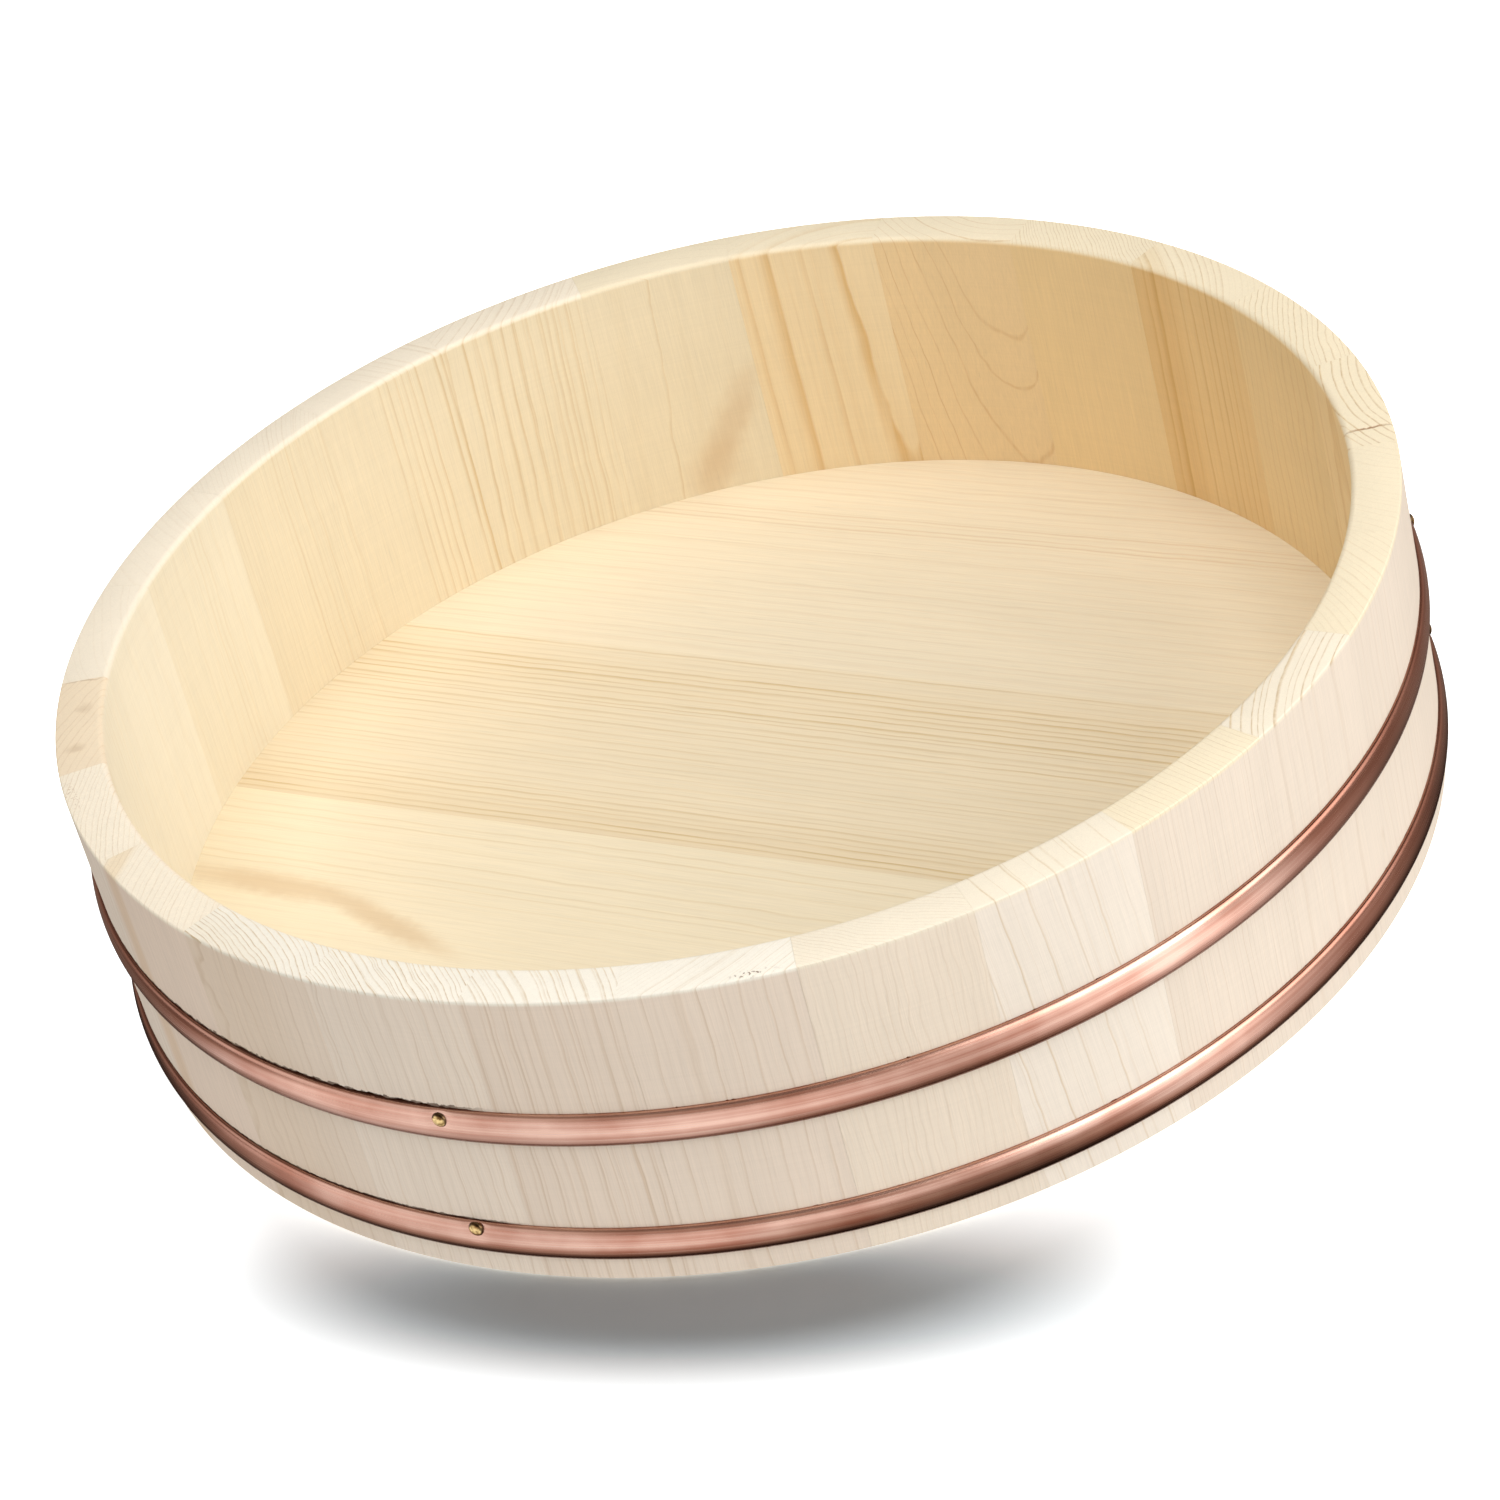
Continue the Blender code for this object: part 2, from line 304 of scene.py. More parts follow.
def ring_points(marks):
    """Single dark rings from (age, width, strength): each deepens slowly and ends sharply, or the
    other way round where its width is given as a negative number."""
    points = []
    for age, width, strength in sorted(marks):
        before, after = (0.85 * width, 0.15 * width) if width > 0 else (-0.15 * width, -0.85 * width)
        start = age - before
        if points and start < points[-1][0] + 0.00005:
            start = points[-1][0] + 0.00005
        points += [(start, 0.0), (max(age, start + 0.00005), strength), (max(age, start) + after, 0.0)]
    return points


def make_ages():
    """How far from the heart of its log, the place's Z axis, the wood grew, with a little waver."""
    tree = bpy.data.node_groups.new("spruce_age", "ShaderNodeTree")
    tree.interface.new_socket("Place", in_out="INPUT", socket_type="NodeSocketVector")
    tree.interface.new_socket("Waver", in_out="INPUT", socket_type="NodeSocketFloat")
    tree.interface.new_socket("Age", in_out="OUTPUT", socket_type="NodeSocketFloat")
    given = tree.nodes.new("NodeGroupInput").outputs
    place = given["Place"]
    from_heart = length_of(tree, stretched(tree, place, (1, 1, 0)))
    slow = sums(tree, "SUBTRACT", grain_noise(tree, place, (26, 26, 8.0)), 0.5)
    quick = sums(tree, "SUBTRACT", grain_noise(tree, place, (90, 90, 70)), 0.5)
    waver = sums(tree, "MULTIPLY_ADD", slow, 0.0045, sums(tree, "MULTIPLY", quick, 0.0019))
    age = sums(tree, "MULTIPLY_ADD", waver, given["Waver"], from_heart)
    tree.links.new(age, tree.nodes.new("NodeGroupOutput").inputs["Age"])
    return tree


def make_growth():
    """Spruce by its age: yearly rings that end in a thin dark line, fine fibre and small flecks."""
    tree = bpy.data.node_groups.new("spruce_growth", "ShaderNodeTree")
    face = tree.interface
    face.new_socket("Place", in_out="INPUT", socket_type="NodeSocketVector")
    for name, value in (
        ("Age", 0.0), ("Marks", 0.0), ("Ring Width", 0.002), ("Contrast", 0.5), ("Tint", 0.0),
        ("Seed", 0.0), ("Thin", 0.80), ("Fuzz", 1.0),
    ):
        face.new_socket(name, in_out="INPUT", socket_type="NodeSocketFloat").default_value = value
    for name in ("Early Wood", "Late Wood", "Heart Wood"):
        face.new_socket(name, in_out="INPUT", socket_type="NodeSocketColor")
    face.new_socket("Colour", in_out="OUTPUT", socket_type="NodeSocketColor")
    face.new_socket("Roughness", in_out="OUTPUT", socket_type="NodeSocketFloat")
    face.new_socket("Height", in_out="OUTPUT", socket_type="NodeSocketFloat")
    given = tree.nodes.new("NodeGroupInput").outputs
    result = tree.nodes.new("NodeGroupOutput")
    place, age = given["Place"], given["Age"]

    warp = {"W": sums(tree, "MULTIPLY_ADD", age, 150.0, given["Seed"]), "Scale": 1.0, "Detail": 1.0}
    uneven = put(tree, "TexNoise", warp, noise_dimensions="1D").outputs["Fac"]
    years = sums(tree, "MULTIPLY_ADD", uneven, 1.6, sums(tree, "DIVIDE", age, given["Ring Width"]))
    season = sums(tree, "FRACT", years)
    year = sums(tree, "ADD", sums(tree, "FLOOR", years), given["Seed"])
    strong = put(tree, "TexWhiteNoise", {"W": year}, noise_dimensions="1D").outputs["Value"]
    rise = step_up(tree, season, sums(tree, "MULTIPLY_ADD", given["Thin"], 0.5, 0.3), 0.93)
    ring = sums(tree, "MULTIPLY", rise, step_up(tree, season, 0.94, 1.0, 1.0, 0.0))
    ring = sums(tree, "MULTIPLY", ring, sums(tree, "MULTIPLY_ADD", strong, 0.5, 0.5))
    broken = grain_noise(tree, place, (420, 420, 26), 2.0, 0.6)
    ring = sums(tree, "MULTIPLY", ring, step_up(tree, broken, 0.30, 0.62, 0.55, 1.15))
    marks = sums(tree, "MULTIPLY", given["Marks"], step_up(tree, broken, 0.30, 0.60, 0.6, 1.1))
    line = sums(tree, "MULTIPLY_ADD", ring, given["Contrast"], marks)
    line = put(tree, "Clamp", {"Value": line}).outputs[0]

    fine = grain_noise(tree, place, (3600, 3600, 70), 3.0, 0.6)
    coarse = grain_noise(tree, place, (1000, 1000, 18), 2.0, 0.55)
    broad = grain_noise(tree, place, (60, 60, 9), 2.0, 0.5)
    fleck = step_up(tree, grain_noise(tree, place, (1700, 1700, 90), 1.0, 0.5), 0.70, 0.80)

    wood = blended(tree, given["Tint"], given["Early Wood"], given["Heart Wood"])
    wood = blended(tree, line, wood, given["Late Wood"])
    fuzz = sums(tree, "MULTIPLY_ADD", sums(tree, "SUBTRACT", fine, 0.5), 0.20,
                sums(tree, "MULTIPLY", sums(tree, "SUBTRACT", coarse, 0.5), 0.07))
    fuzz = sums(tree, "MULTIPLY_ADD", sums(tree, "SUBTRACT", broad, 0.5), 0.08,
                sums(tree, "MULTIPLY", fuzz, given["Fuzz"]))
    fuzz = sums(tree, "SUBTRACT", fuzz, sums(tree, "MULTIPLY", fleck, 0.06))
    wood = scaled(tree, wood, sums(tree, "ADD", fuzz, 1.0))
    tree.links.new(wood, result.inputs["Colour"])
    rough = sums(tree, "MULTIPLY_ADD", fine, 0.2, sums(tree, "MULTIPLY_ADD", line, -0.12, 0.52))
    tree.links.new(rough, result.inputs["Roughness"])
    height = sums(tree, "MULTIPLY_ADD", fine, 0.5,
                  sums(tree, "MULTIPLY_ADD", coarse, 0.4, sums(tree, "MULTIPLY", line, 0.8)))
    tree.links.new(height, result.inputs["Height"])
    return tree


ages = make_ages()
growth = make_growth()
EARLY_WOOD = (0.850, 0.735, 0.560, 1)
LATE_WOOD = (0.540, 0.360, 0.175, 1)
GOLDEN_WOOD = (0.640, 0.440, 0.205, 1)
HEART_WOOD = (0.760, 0.590, 0.370, 1)
# Painted shade for the seat beds behind the hoops.
SEAT_SHADE = (0.13, 0.065, 0.035, 1)
# A ragged darker row just above the hoops on the torn side.
LIP_DARK_ROW = (0.10, 0.050, 0.028, 1)
DARK_ROW_DEPTHS = (0.0006, 0.0011)


def stain(tree, seen, colour, place, turn, size, depth, shade, wobble, specks=False):
    """Darken the wood in one patch with a ragged edge. The patch is an ellipsoid in the wood."""
    ragged = put(tree, "TexNoise", {"Vector": seen, "Scale": 0.3 / wobble, "Detail": 3.0}).outputs["Color"]
    ragged = put(tree, "VectorMath", {0: ragged, 1: (-0.5, -0.5, -0.5)}, operation="ADD").outputs[0]
    ragged = scaled(tree, ragged, 3 * wobble)
    pushed = put(tree, "VectorMath", {0: seen, 1: ragged}, operation="ADD").outputs[0]
    inputs = {"Vector": pushed, "Location": place, "Rotation": turn, "Scale": size}
    reach = length_of(tree, put(tree, "Mapping", inputs, vector_type="TEXTURE").outputs[0])
    share = step_up(tree, reach, 0.2, 1.0, depth, 0.0)
    if specks:
        share = sums(tree, "MULTIPLY", share, step_up(tree, mottle(tree, seen, 1300.0), 0.56, 0.66))
    return blended(tree, share, colour, shade)


def spruce(name, heart, turn, outer, inner, rim, calm_out=1.0, calm_in=1.0, calm_rim=1.0, contrast=0.3,
           marks=(), tint=(), stains=(), waver=1.0, **grain):
    """Bare spruce cut from a log whose heart passes through a point and lies along its own Z. The
    tones shade the wood outside the tub, inside it and on the rim, where the rings show most."""
    material, tree, shader = new_finish(name)
    shader.inputs["Specular IOR Level"].default_value = 0.3
    seen = put(tree, "TexCoord").outputs["Object"]
    height = put(tree, "SeparateXYZ", {0: seen}).outputs["Z"]
    radius = length_of(tree, stretched(tree, seen, (1, 1, 0)))
    inside = step_up(tree, radius, 0.1545, 0.1575, 1.0, 0.0)
    on_rim = step_up(tree, height, WALL_HEIGHT - 0.0014, WALL_HEIGHT - 0.0004)

    in_log = {"Vector": seen, "Location": heart, "Rotation": turn}
    place = put(tree, "Mapping", in_log, vector_type="TEXTURE").outputs[0]
    grown = put(tree, "Group", node_tree=ages)
    tree.links.new(place, grown.inputs["Place"])
    grown.inputs["Waver"].default_value = waver
    age = grown.outputs["Age"]
    rings = put(tree, "Group", node_tree=growth)
    tree.links.new(place, rings.inputs["Place"])
    tree.links.new(age, rings.inputs["Age"])
    for key, value in {"Early Wood": EARLY_WOOD, "Heart Wood": HEART_WOOD, **grain}.items():
        rings.inputs[key].default_value = value
    if "Late Wood" not in grain:
        tree.links.new(blended(tree, inside, LATE_WOOD, GOLDEN_WOOD), rings.inputs["Late Wood"])
    if marks:
        marked = by_age(tree, age, ring_points(marks))
        marked = sums(tree, "MULTIPLY", marked, step_up(tree, on_rim, 0.0, 1.0, 1.0, calm_rim))
        tree.links.new(marked, rings.inputs["Marks"])
    if tint:
        tree.links.new(by_age(tree, age, tint), rings.inputs["Tint"])
    strength = contrast if isinstance(contrast, float) else by_age(tree, age, contrast)
    calm = step_up(tree, inside, 0.0, 1.0, calm_out, calm_in)
    calm = sums(tree, "MULTIPLY_ADD", on_rim, sums(tree, "SUBTRACT", calm_rim, calm), calm)
    tree.links.new(sums(tree, "MULTIPLY", strength, calm), rings.inputs["Contrast"])

    tone = blended(tree, on_rim, blended(tree, inside, (*outer, 1), (*inner, 1)), (*rim, 1))
    wood = put(tree, "VectorMath", {0: rings.outputs["Colour"], 1: tone}, operation="MULTIPLY").outputs[0]
    for patch in stains:
        wood = stain(tree, seen, wood, *patch)
    side = (math.cos(math.radians(TORN_SIDE)), math.sin(math.radians(TORN_SIDE)), 0)
    torn_side = step_up(tree, sums(tree, "DIVIDE", toward(tree, seen, side), radius), 0.865, 0.905)
    outside = step_up(tree, inside, 0.0, 0.1, 1.0, 0.0)
    for (low, high), deep in zip(HOOP_SEATS, DARK_ROW_DEPTHS):
        within = sums(tree, "ABSOLUTE", sums(tree, "SUBTRACT", height, (low + high) / 2))
        # Painted shade: the seat bed behind each hoop is darkened.
        darkening = sums(tree, "MULTIPLY", step_up(tree, within, 0.0054, 0.0060, 1.0, 0.0),
                    step_up(tree, radius, SEAT_BED_RADIUS + 0.0003, SEAT_BED_RADIUS + 0.0009, 0.85, 0.0))
        darkening = sums(tree, "MULTIPLY", darkening, outside)
        wood = blended(tree, darkening, wood, SEAT_SHADE)
        # A ragged darker row just above each hoop on the torn side.
        above = sums(tree, "SUBTRACT", height, high)
        ragged = mottle(tree, seen, 620.0, 3.0)
        reach = sums(tree, "MULTIPLY", step_up(tree, ragged, 0.30, 0.66, 0.45, 1.0), deep)
        past_reach = sums(tree, "SUBTRACT", above, reach)
        dark_row = sums(tree, "MULTIPLY", step_up(tree, past_reach, 0.0, 0.00018, 1.0, 0.0),
                     step_up(tree, above, -0.0006, 0.0, 0.0, 0.85))
        dark_row = sums(tree, "MULTIPLY", dark_row, torn_side)
        dark_row = sums(tree, "MULTIPLY", dark_row, outside)
        wood = blended(tree, dark_row, wood, LIP_DARK_ROW)
    turned = grain_noise(tree, seen, (12, 12, 1500), 2.0, 0.6)
    wood = scaled(tree, wood, sums(tree, "MULTIPLY_ADD", turned, 0.06, 0.97))
    tree.links.new(wood, shader.inputs["Base Color"])
    tree.links.new(rings.outputs["Roughness"], shader.inputs["Roughness"])
    relief = sums(tree, "MULTIPLY_ADD", turned, 0.4, rings.outputs["Height"])
    bump = put(tree, "Bump", {"Strength": 0.35, "Distance": 0.0002, "Height": relief})
    tree.links.new(bump.outputs[0], shader.inputs["Normal"])
    return material


def age_of(point, heart, turn):
    """How far from the heart of its log a point of the tub lies."""
    place = Euler(turn).to_matrix().inverted() @ (Vector(point) - Vector(heart))
    return math.hypot(place.x, place.y)


OUTER_TONE = (0.985, 0.970, 1.040)
RIM_TONE = (1.075, 1.075, 1.025)
LIGHT_RIM_TONE = (1.070, 1.100, 1.150)
FAIR_RIM_TONE = (1.120, 1.145, 1.200)
PALE_RIM_TONE = (1.100, 1.180, 1.330)
# The inner tones are partly the boards' own tones and partly painted shade: the tan, rose, honey and warm
# tones of the staves on the tub's right and back stand for the shade inside there, and the pale ones on its
# left for light.
INNER_TONES_AND_SHADE = {
    "tan": (1.050, 0.920, 0.680),
    "light tan": (1.100, 0.975, 0.750),
    "rose": (1.030, 0.905, 0.700),
    "warm": (1.065, 0.998, 0.848),
    "fair": (1.020, 1.030, 0.990),
    "cream": (1.045, 1.090, 1.110),
    "honey": (1.020, 0.850, 0.580),
    "pale": (1.085, 1.155, 1.230),
}


def stave_spruce(number, middle, lines, away, width, contrast, kind="cream", face=0.1536, lean_out=0.0,
                 lean_round=0.0, marks=(), tint=(), stains=(), outer=OUTER_TONE, rim=RIM_TONE,
                 calm_out=0.6, calm_in=0.6, calm_rim=1.0, **grain):
    """The grain of one stave. On the rim its rings run at an angle to the wall, counted from the
    way round towards outside, and their heart lies some way off, inside the tub or outside it.
    Marks and tints are given where they show on one face of the wall, in degrees about the axis,
    marks with their width in millimetres. Stains are given by angle, radius and height, their half
    sizes outwards, round and up, and their slope."""
    slant = math.radians(lines)
    out = (OUTER_RADIUS + RIM_INNER_RADIUS) / 2 - away * math.cos(slant)
    round_way = away * math.sin(slant)
    heart = (
        out * math.cos(middle) - round_way * math.sin(middle),
        out * math.sin(middle) + round_way * math.cos(middle),
        WALL_HEIGHT / 2,
    )
    turn = (lean_round, lean_out, middle)

    def at_face(degrees):
        angle = math.radians(degrees)
        return age_of((face * math.cos(angle), face * math.sin(angle), WALL_HEIGHT / 2), heart, turn)

    aged_marks = []
    for degrees, thick, strength in marks:
        slope = abs(at_face(degrees + 0.1) - at_face(degrees - 0.1)) / (math.radians(0.2) * face)
        aged_marks.append((at_face(degrees), thick * 0.001 * max(0.15, slope), strength))
    patches = []
    for degrees, radius, height, size, slope, depth, shade, wobble, *specks in stains:
        angle = math.radians(degrees)
        place = (radius * math.cos(angle), radius * math.sin(angle), height)
        patches.append((place, (math.radians(slope), 0, angle), size, depth, shade, wobble, *specks))
    tint = sorted((at_face(degrees), value) for degrees, value in tint)
    return spruce(
        f"spruce_stave_{number:02d}", heart, turn, outer, INNER_TONES_AND_SHADE[kind], rim, calm_out, calm_in, calm_rim,
        contrast, aged_marks, tint, patches, **{"Ring Width": width, "Seed": 7.0 * number, **grain})


BROWN = (0.52, 0.34, 0.19, 1)
ORANGE_BROWN = (0.62, 0.40, 0.20, 1)
DARK_BROWN = (0.20, 0.10, 0.05, 1)
CRACK_BROWN = (0.40, 0.24, 0.13, 1)

# For each stave: the rings' angle on the rim in degrees, how far off the heart of the log lies, the
# rings' width and strength, then what else its board shows.
STAVE_GRAIN = (
    (-45, 0.120, 0.0018, 0.22, {"waver": 0.5}),
    (-60, 0.150, 0.0018, 0.15, {}),
    (-7, -0.056, 0.0021, 0.80, {"kind": "light tan", "waver": 0.5, "stains": (
        (CRACK_ANGLE, 0.159, 0.0797, (0.0080, 0.00065, 0.0030), 0, 1.0, CRACK_BROWN, 0.0005),)}),
    (26, -0.150, 0.0014, 0.60, {"kind": "tan"}),
    (35, 0.120, 0.0016, 0.12, {
        "kind": "honey", "waver": 0.3, "tint": ((72.1, 0.35), (68.5, 0.45), (66.0, 0.0), (57, 0.0)),
        "marks": ((70.6, 1.2, 0.5), (69.4, 2.4, 0.6), (67.6, 0.9, 0.4), (66, 0.9, 0.45), (64.5, 0.9, 0.5),
                  (63, 0.8, 0.4), (62, 0.8, 0.5), (61, 0.8, 0.35), (60, 0.8, 0.45), (59, 0.8, 0.35))}),
    (48, -0.160, 0.00095, 0.60, {"kind": "tan", "calm_in": 0.15}),
    (22, -0.042, 0.0025, 0.55, {
        "kind": "rose", "lean_out": -0.11, "waver": 0.6, "calm_in": 0.8, "Thin": 1.12,
        "Late Wood": (0.61, 0.39, 0.18, 1)}),
    (-25, 0.036, 0.0024, 0.20, {
        "kind": "warm", "waver": 0.25, "calm_rim": 0.5, "Late Wood": (0.67, 0.45, 0.20, 1),
        "marks": ((115.4, -2.4, 0.40), (112.4, -4.6, 0.60), (108.6, -2.2, 0.38), (104.4, -5.4, 0.72))}),
    (12, 0.080, 0.0030, 0.10, {"kind": "fair", "waver": 0.3, "marks": ((126, 0.8, 0.40),), "stains": (
        (120.6, 0.1536, 0.0280, (0.004, 0.0070, 0.030), 30, 0.34, ORANGE_BROWN, 0.0018),
        (123.2, 0.1536, 0.0150, (0.004, 0.0110, 0.016), 20, 0.24, ORANGE_BROWN, 0.0020))}),
    (-52, -0.110, 0.0026, 0.50, {
        "kind": "fair", "lean_round": 0.057, "waver": 0.5, "rim": FAIR_RIM_TONE, "calm_rim": 0.5,
        "marks": tuple((145.5 - 1.4 * step, 1.1, 0.40) for step in range(9))}),
    (70, 0.140, 0.0020, 0.12, {
        "kind": "fair", "waver": 0.4, "rim": FAIR_RIM_TONE, "calm_rim": 0.4,
        "marks": ((155, 0.9, 0.35), (154, 0.9, 0.35), (153, 0.9, 0.4), (152.2, 0.8, 0.4), (151.4, 0.8, 0.45),
                  (150.5, 0.9, 0.5), (148.2, 1.2, 0.55), (147.4, 1.3, 0.7))}),
    (-48, 0.120, 0.0013, 0.28, {
        "kind": "fair", "waver": 0.5, "rim": FAIR_RIM_TONE, "calm_rim": 0.6,
        "marks": ((169, 0.8, 0.25), (167, 0.8, 0.25), (165.5, 0.8, 0.25), (162.5, 0.8, 0.25))}),
    (-50, 0.140, 0.0030, 0.18, {
        "rim": FAIR_RIM_TONE, "calm_rim": 0.5,
        "marks": ((183, 1.0, 0.2), (181.5, 1.0, 0.2), (176.5, 1.0, 0.2))}),
    (-20, 0.120, 0.0026, 0.12, {"kind": "pale", "rim": FAIR_RIM_TONE}),
    (30, 0.100, 0.0022, 0.25, {"kind": "pale", "rim": (1.060, 1.010, 0.960), "stains": (
        (217.5, 0.160, 0.0800, (0.004, 0.0022, 0.003), 0, 0.35, BROWN, 0.0016),
        (211.5, 0.158, 0.0800, (0.003, 0.0030, 0.003), 0, 0.30, BROWN, 0.0016),
        (207.0, 0.159, 0.0800, (0.007, 0.0006, 0.006), 0, 0.55, BROWN, 0.0008))}),
    (22, 0.200, 0.0013, 0.40, {"Fuzz": 1.5, "rim": FAIR_RIM_TONE, "stains": (
        (225, 0.1630, 0.0800, (0.0020, 0.0090, 0.002), 0, 0.7, BROWN, 0.0012, True),)}),
    (50, 0.120, 0.0016, 0.30, {
        "face": OUTER_RADIUS, "Fuzz": 1.4, "waver": 0.7, "calm_out": 0.3,
        "outer": (0.985, 0.925, 0.965), "rim": FAIR_RIM_TONE,
        "tint": ((239.4, 0.0), (238.5, 0.6), (237.0, 0.6), (236.2, 0.0))}),
    (24, -0.070, 0.0013, 0.90, {
        "face": OUTER_RADIUS, "calm_out": 0.15, "outer": (0.960, 0.920, 0.960), "rim": PALE_RIM_TONE,
        "tint": ((262, 0.0), (257, 0.25), (250, 0.25)),
        "marks": ((251.0, 2.0, 0.20), (254.3, 1.0, 0.20), (256.6, 0.7, 0.22), (259.0, 0.7, 0.18),
                  (261.2, 0.7, 0.2))}),
    (41, -0.190, 0.0012, 0.90, {
        "face": OUTER_RADIUS, "calm_out": 0.15, "rim": PALE_RIM_TONE,
        "marks": ((264.6, 0.6, 0.3), (266.3, 0.6, 0.3), (268.0, 0.6, 0.25), (269.1, 0.6, 0.3),
                  (271.0, 0.6, 0.3), (272.6, 0.6, 0.35), (274.3, 0.6, 0.3), (275.4, 0.6, 0.35),
                  (276.5, 0.7, 0.35))}),
    (58, -0.130, 0.0021, 0.85, {
        "face": OUTER_RADIUS, "waver": 0.6, "calm_out": 0.3, "calm_rim": 0.7,
        "outer": (0.950, 0.915, 0.970), "rim": PALE_RIM_TONE,
        "marks": ((278.0, 1.0, 0.40), (279.8, 0.7, 0.4), (281.3, 0.7, 0.45), (283.2, 0.7, 0.4),
                  (285.1, 0.8, 0.5), (286.5, 0.6, 0.35), (288.3, 0.9, 0.5), (289.3, 0.6, 0.4))}),
    (-40, 0.150, 0.0014, 0.18, {
        "face": OUTER_RADIUS, "waver": 0.5, "outer": (0.955, 0.925, 0.985), "rim": PALE_RIM_TONE,
        "marks": ((292.0, 0.6, 0.35), (294.9, 3.6, 0.15), (296.2, 0.7, 0.4), (297.9, 0.6, 0.25),
                  (299.3, 0.6, 0.3), (301.2, 0.6, 0.3), (302.9, 0.6, 0.4)),
        "stains": ((300.5, 0.1635, 0.0800, (0.0016, 0.0070, 0.002), 0, 0.9, DARK_BROWN, 0.0010, True),)}),
    (35, 0.150, 0.0010, 0.30, {"outer": (1.015, 1.000, 1.050), "rim": LIGHT_RIM_TONE}),
    (88, 0.150, 0.0040, 0.38, {
        "face": OUTER_RADIUS, "lean_round": 0.10, "waver": 0.7, "Thin": 1.2,
        "Late Wood": (0.600, 0.420, 0.210, 1), "outer": (1.040, 1.060, 1.170), "rim": LIGHT_RIM_TONE,
        "marks": tuple((at, 0.6, 0.5) for at in (318.2, 320.5, 323, 325.5, 328))}),
    (88, 0.180, 0.0014, 0.45, {"Thin": 1.0, "waver": 0.6}),
    (-20, -0.085, 0.0018, 0.75, {"rim": LIGHT_RIM_TONE, "calm_out": 0.2, "waver": 0.4}),
)

for number, (lines, away, width, contrast, more) in enumerate(STAVE_GRAIN, start=1):
    node = f"stave_{number:02d}"
    start, end = span_of(node)
    stave = turn_stave(f"wall_{node}", start - GLUE_ANGLE, end + GLUE_ANGLE)
    chip_lips(stave)
    if start < math.radians(CRACK_ANGLE) < end:
        split_rim(stave, math.radians(CRACK_ANGLE))
    stave.data.materials.clear()
    stave.data.materials.append(stave_spruce(number, (start + end) / 2, lines, away, width, contrast, **more))
    bpy.ops.object.shade_smooth_by_angle(angle=math.radians(28))
    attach(stave, "root")
    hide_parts(node)
bpy.data.objects.remove(stave_section)

# Floor
# Four spruce boards, edge-glued with their grain one way and cut to a disc. Its edge is thinned to
# a tongue that sits in the groove near the feet of the staves.
FLOOR_TOP = 0.009
FLOOR_UNDERSIDE = 0.002
TONGUE_RADIUS = 0.1576
TONGUE_BOTTOM = 0.005
FLOOR_BODY_RADIUS = 0.1538
FLOOR_SEAMS = (-0.0980, -0.0225, 0.0540)
FLOOR_TONE = (0.985, 0.975, 0.925)
GOLDEN = (0.650, 0.465, 0.215, 1)

bpy.ops.object.select_all(action="DESELECT")
bpy.ops.mesh.primitive_cylinder_add(
    vertices=360,
    radius=TONGUE_RADIUS,
    depth=FLOOR_TOP - TONGUE_BOTTOM,
    location=(0, 0, (FLOOR_TOP + TONGUE_BOTTOM) / 2),
)
whole_floor = bpy.context.active_object
whole_floor.name = "whole_floor"
bpy.ops.object.transform_apply(location=True, rotation=True, scale=True)
bpy.ops.object.mode_set(mode="EDIT")
pick("FACE", lambda p: p.z < TONGUE_BOTTOM + 0.0001)
bpy.ops.mesh.inset(thickness=TONGUE_RADIUS - FLOOR_BODY_RADIUS)
bpy.ops.mesh.extrude_region_move(TRANSFORM_OT_translate={"value": (0, 0, FLOOR_UNDERSIDE - TONGUE_BOTTOM)})
bpy.ops.object.mode_set(mode="OBJECT")


def cut_board(front, back):
    """Cut the active floor disc down to one board between two seams."""
    bpy.ops.object.mode_set(mode="EDIT")
    for seam, normal in ((front, (0, -1, 0)), (back, (0, 1, 0))):
        if seam is not None:
            slice_through((0, seam, 0), normal, use_fill=True, clear_outer=True)
    bpy.ops.object.mode_set(mode="OBJECT")


def floor_spruce(number, heart, contrast, marks=(), tint=(), lean=0.0, tone=FLOOR_TONE, **grain):
    """The grain of one floor board: the log lies along X, its heart at a place across and up. Marks,
    tints and changes of strength are given in millimetres across the tub, where they show on top."""
    place, turn = (0, *heart), (lean, math.pi / 2, 0)

    def at(across):
        return age_of((0, across * 0.001, FLOOR_TOP), place, turn)

    if not isinstance(contrast, float):
        contrast = sorted((at(across), value) for across, value in contrast)
    marks = [(at(across), thick * 0.001, strength) for across, thick, strength in marks]
    tint = sorted((at(across), value) for across, value in tint)
    grain = {"Seed": 40.0 + 9 * number, "Late Wood": GOLDEN, "Thin": 0.45, **grain}
    return spruce(f"spruce_floor_{number}", place, turn, tone, tone, tone, contrast=contrast,
                  marks=marks, tint=tint, **grain)


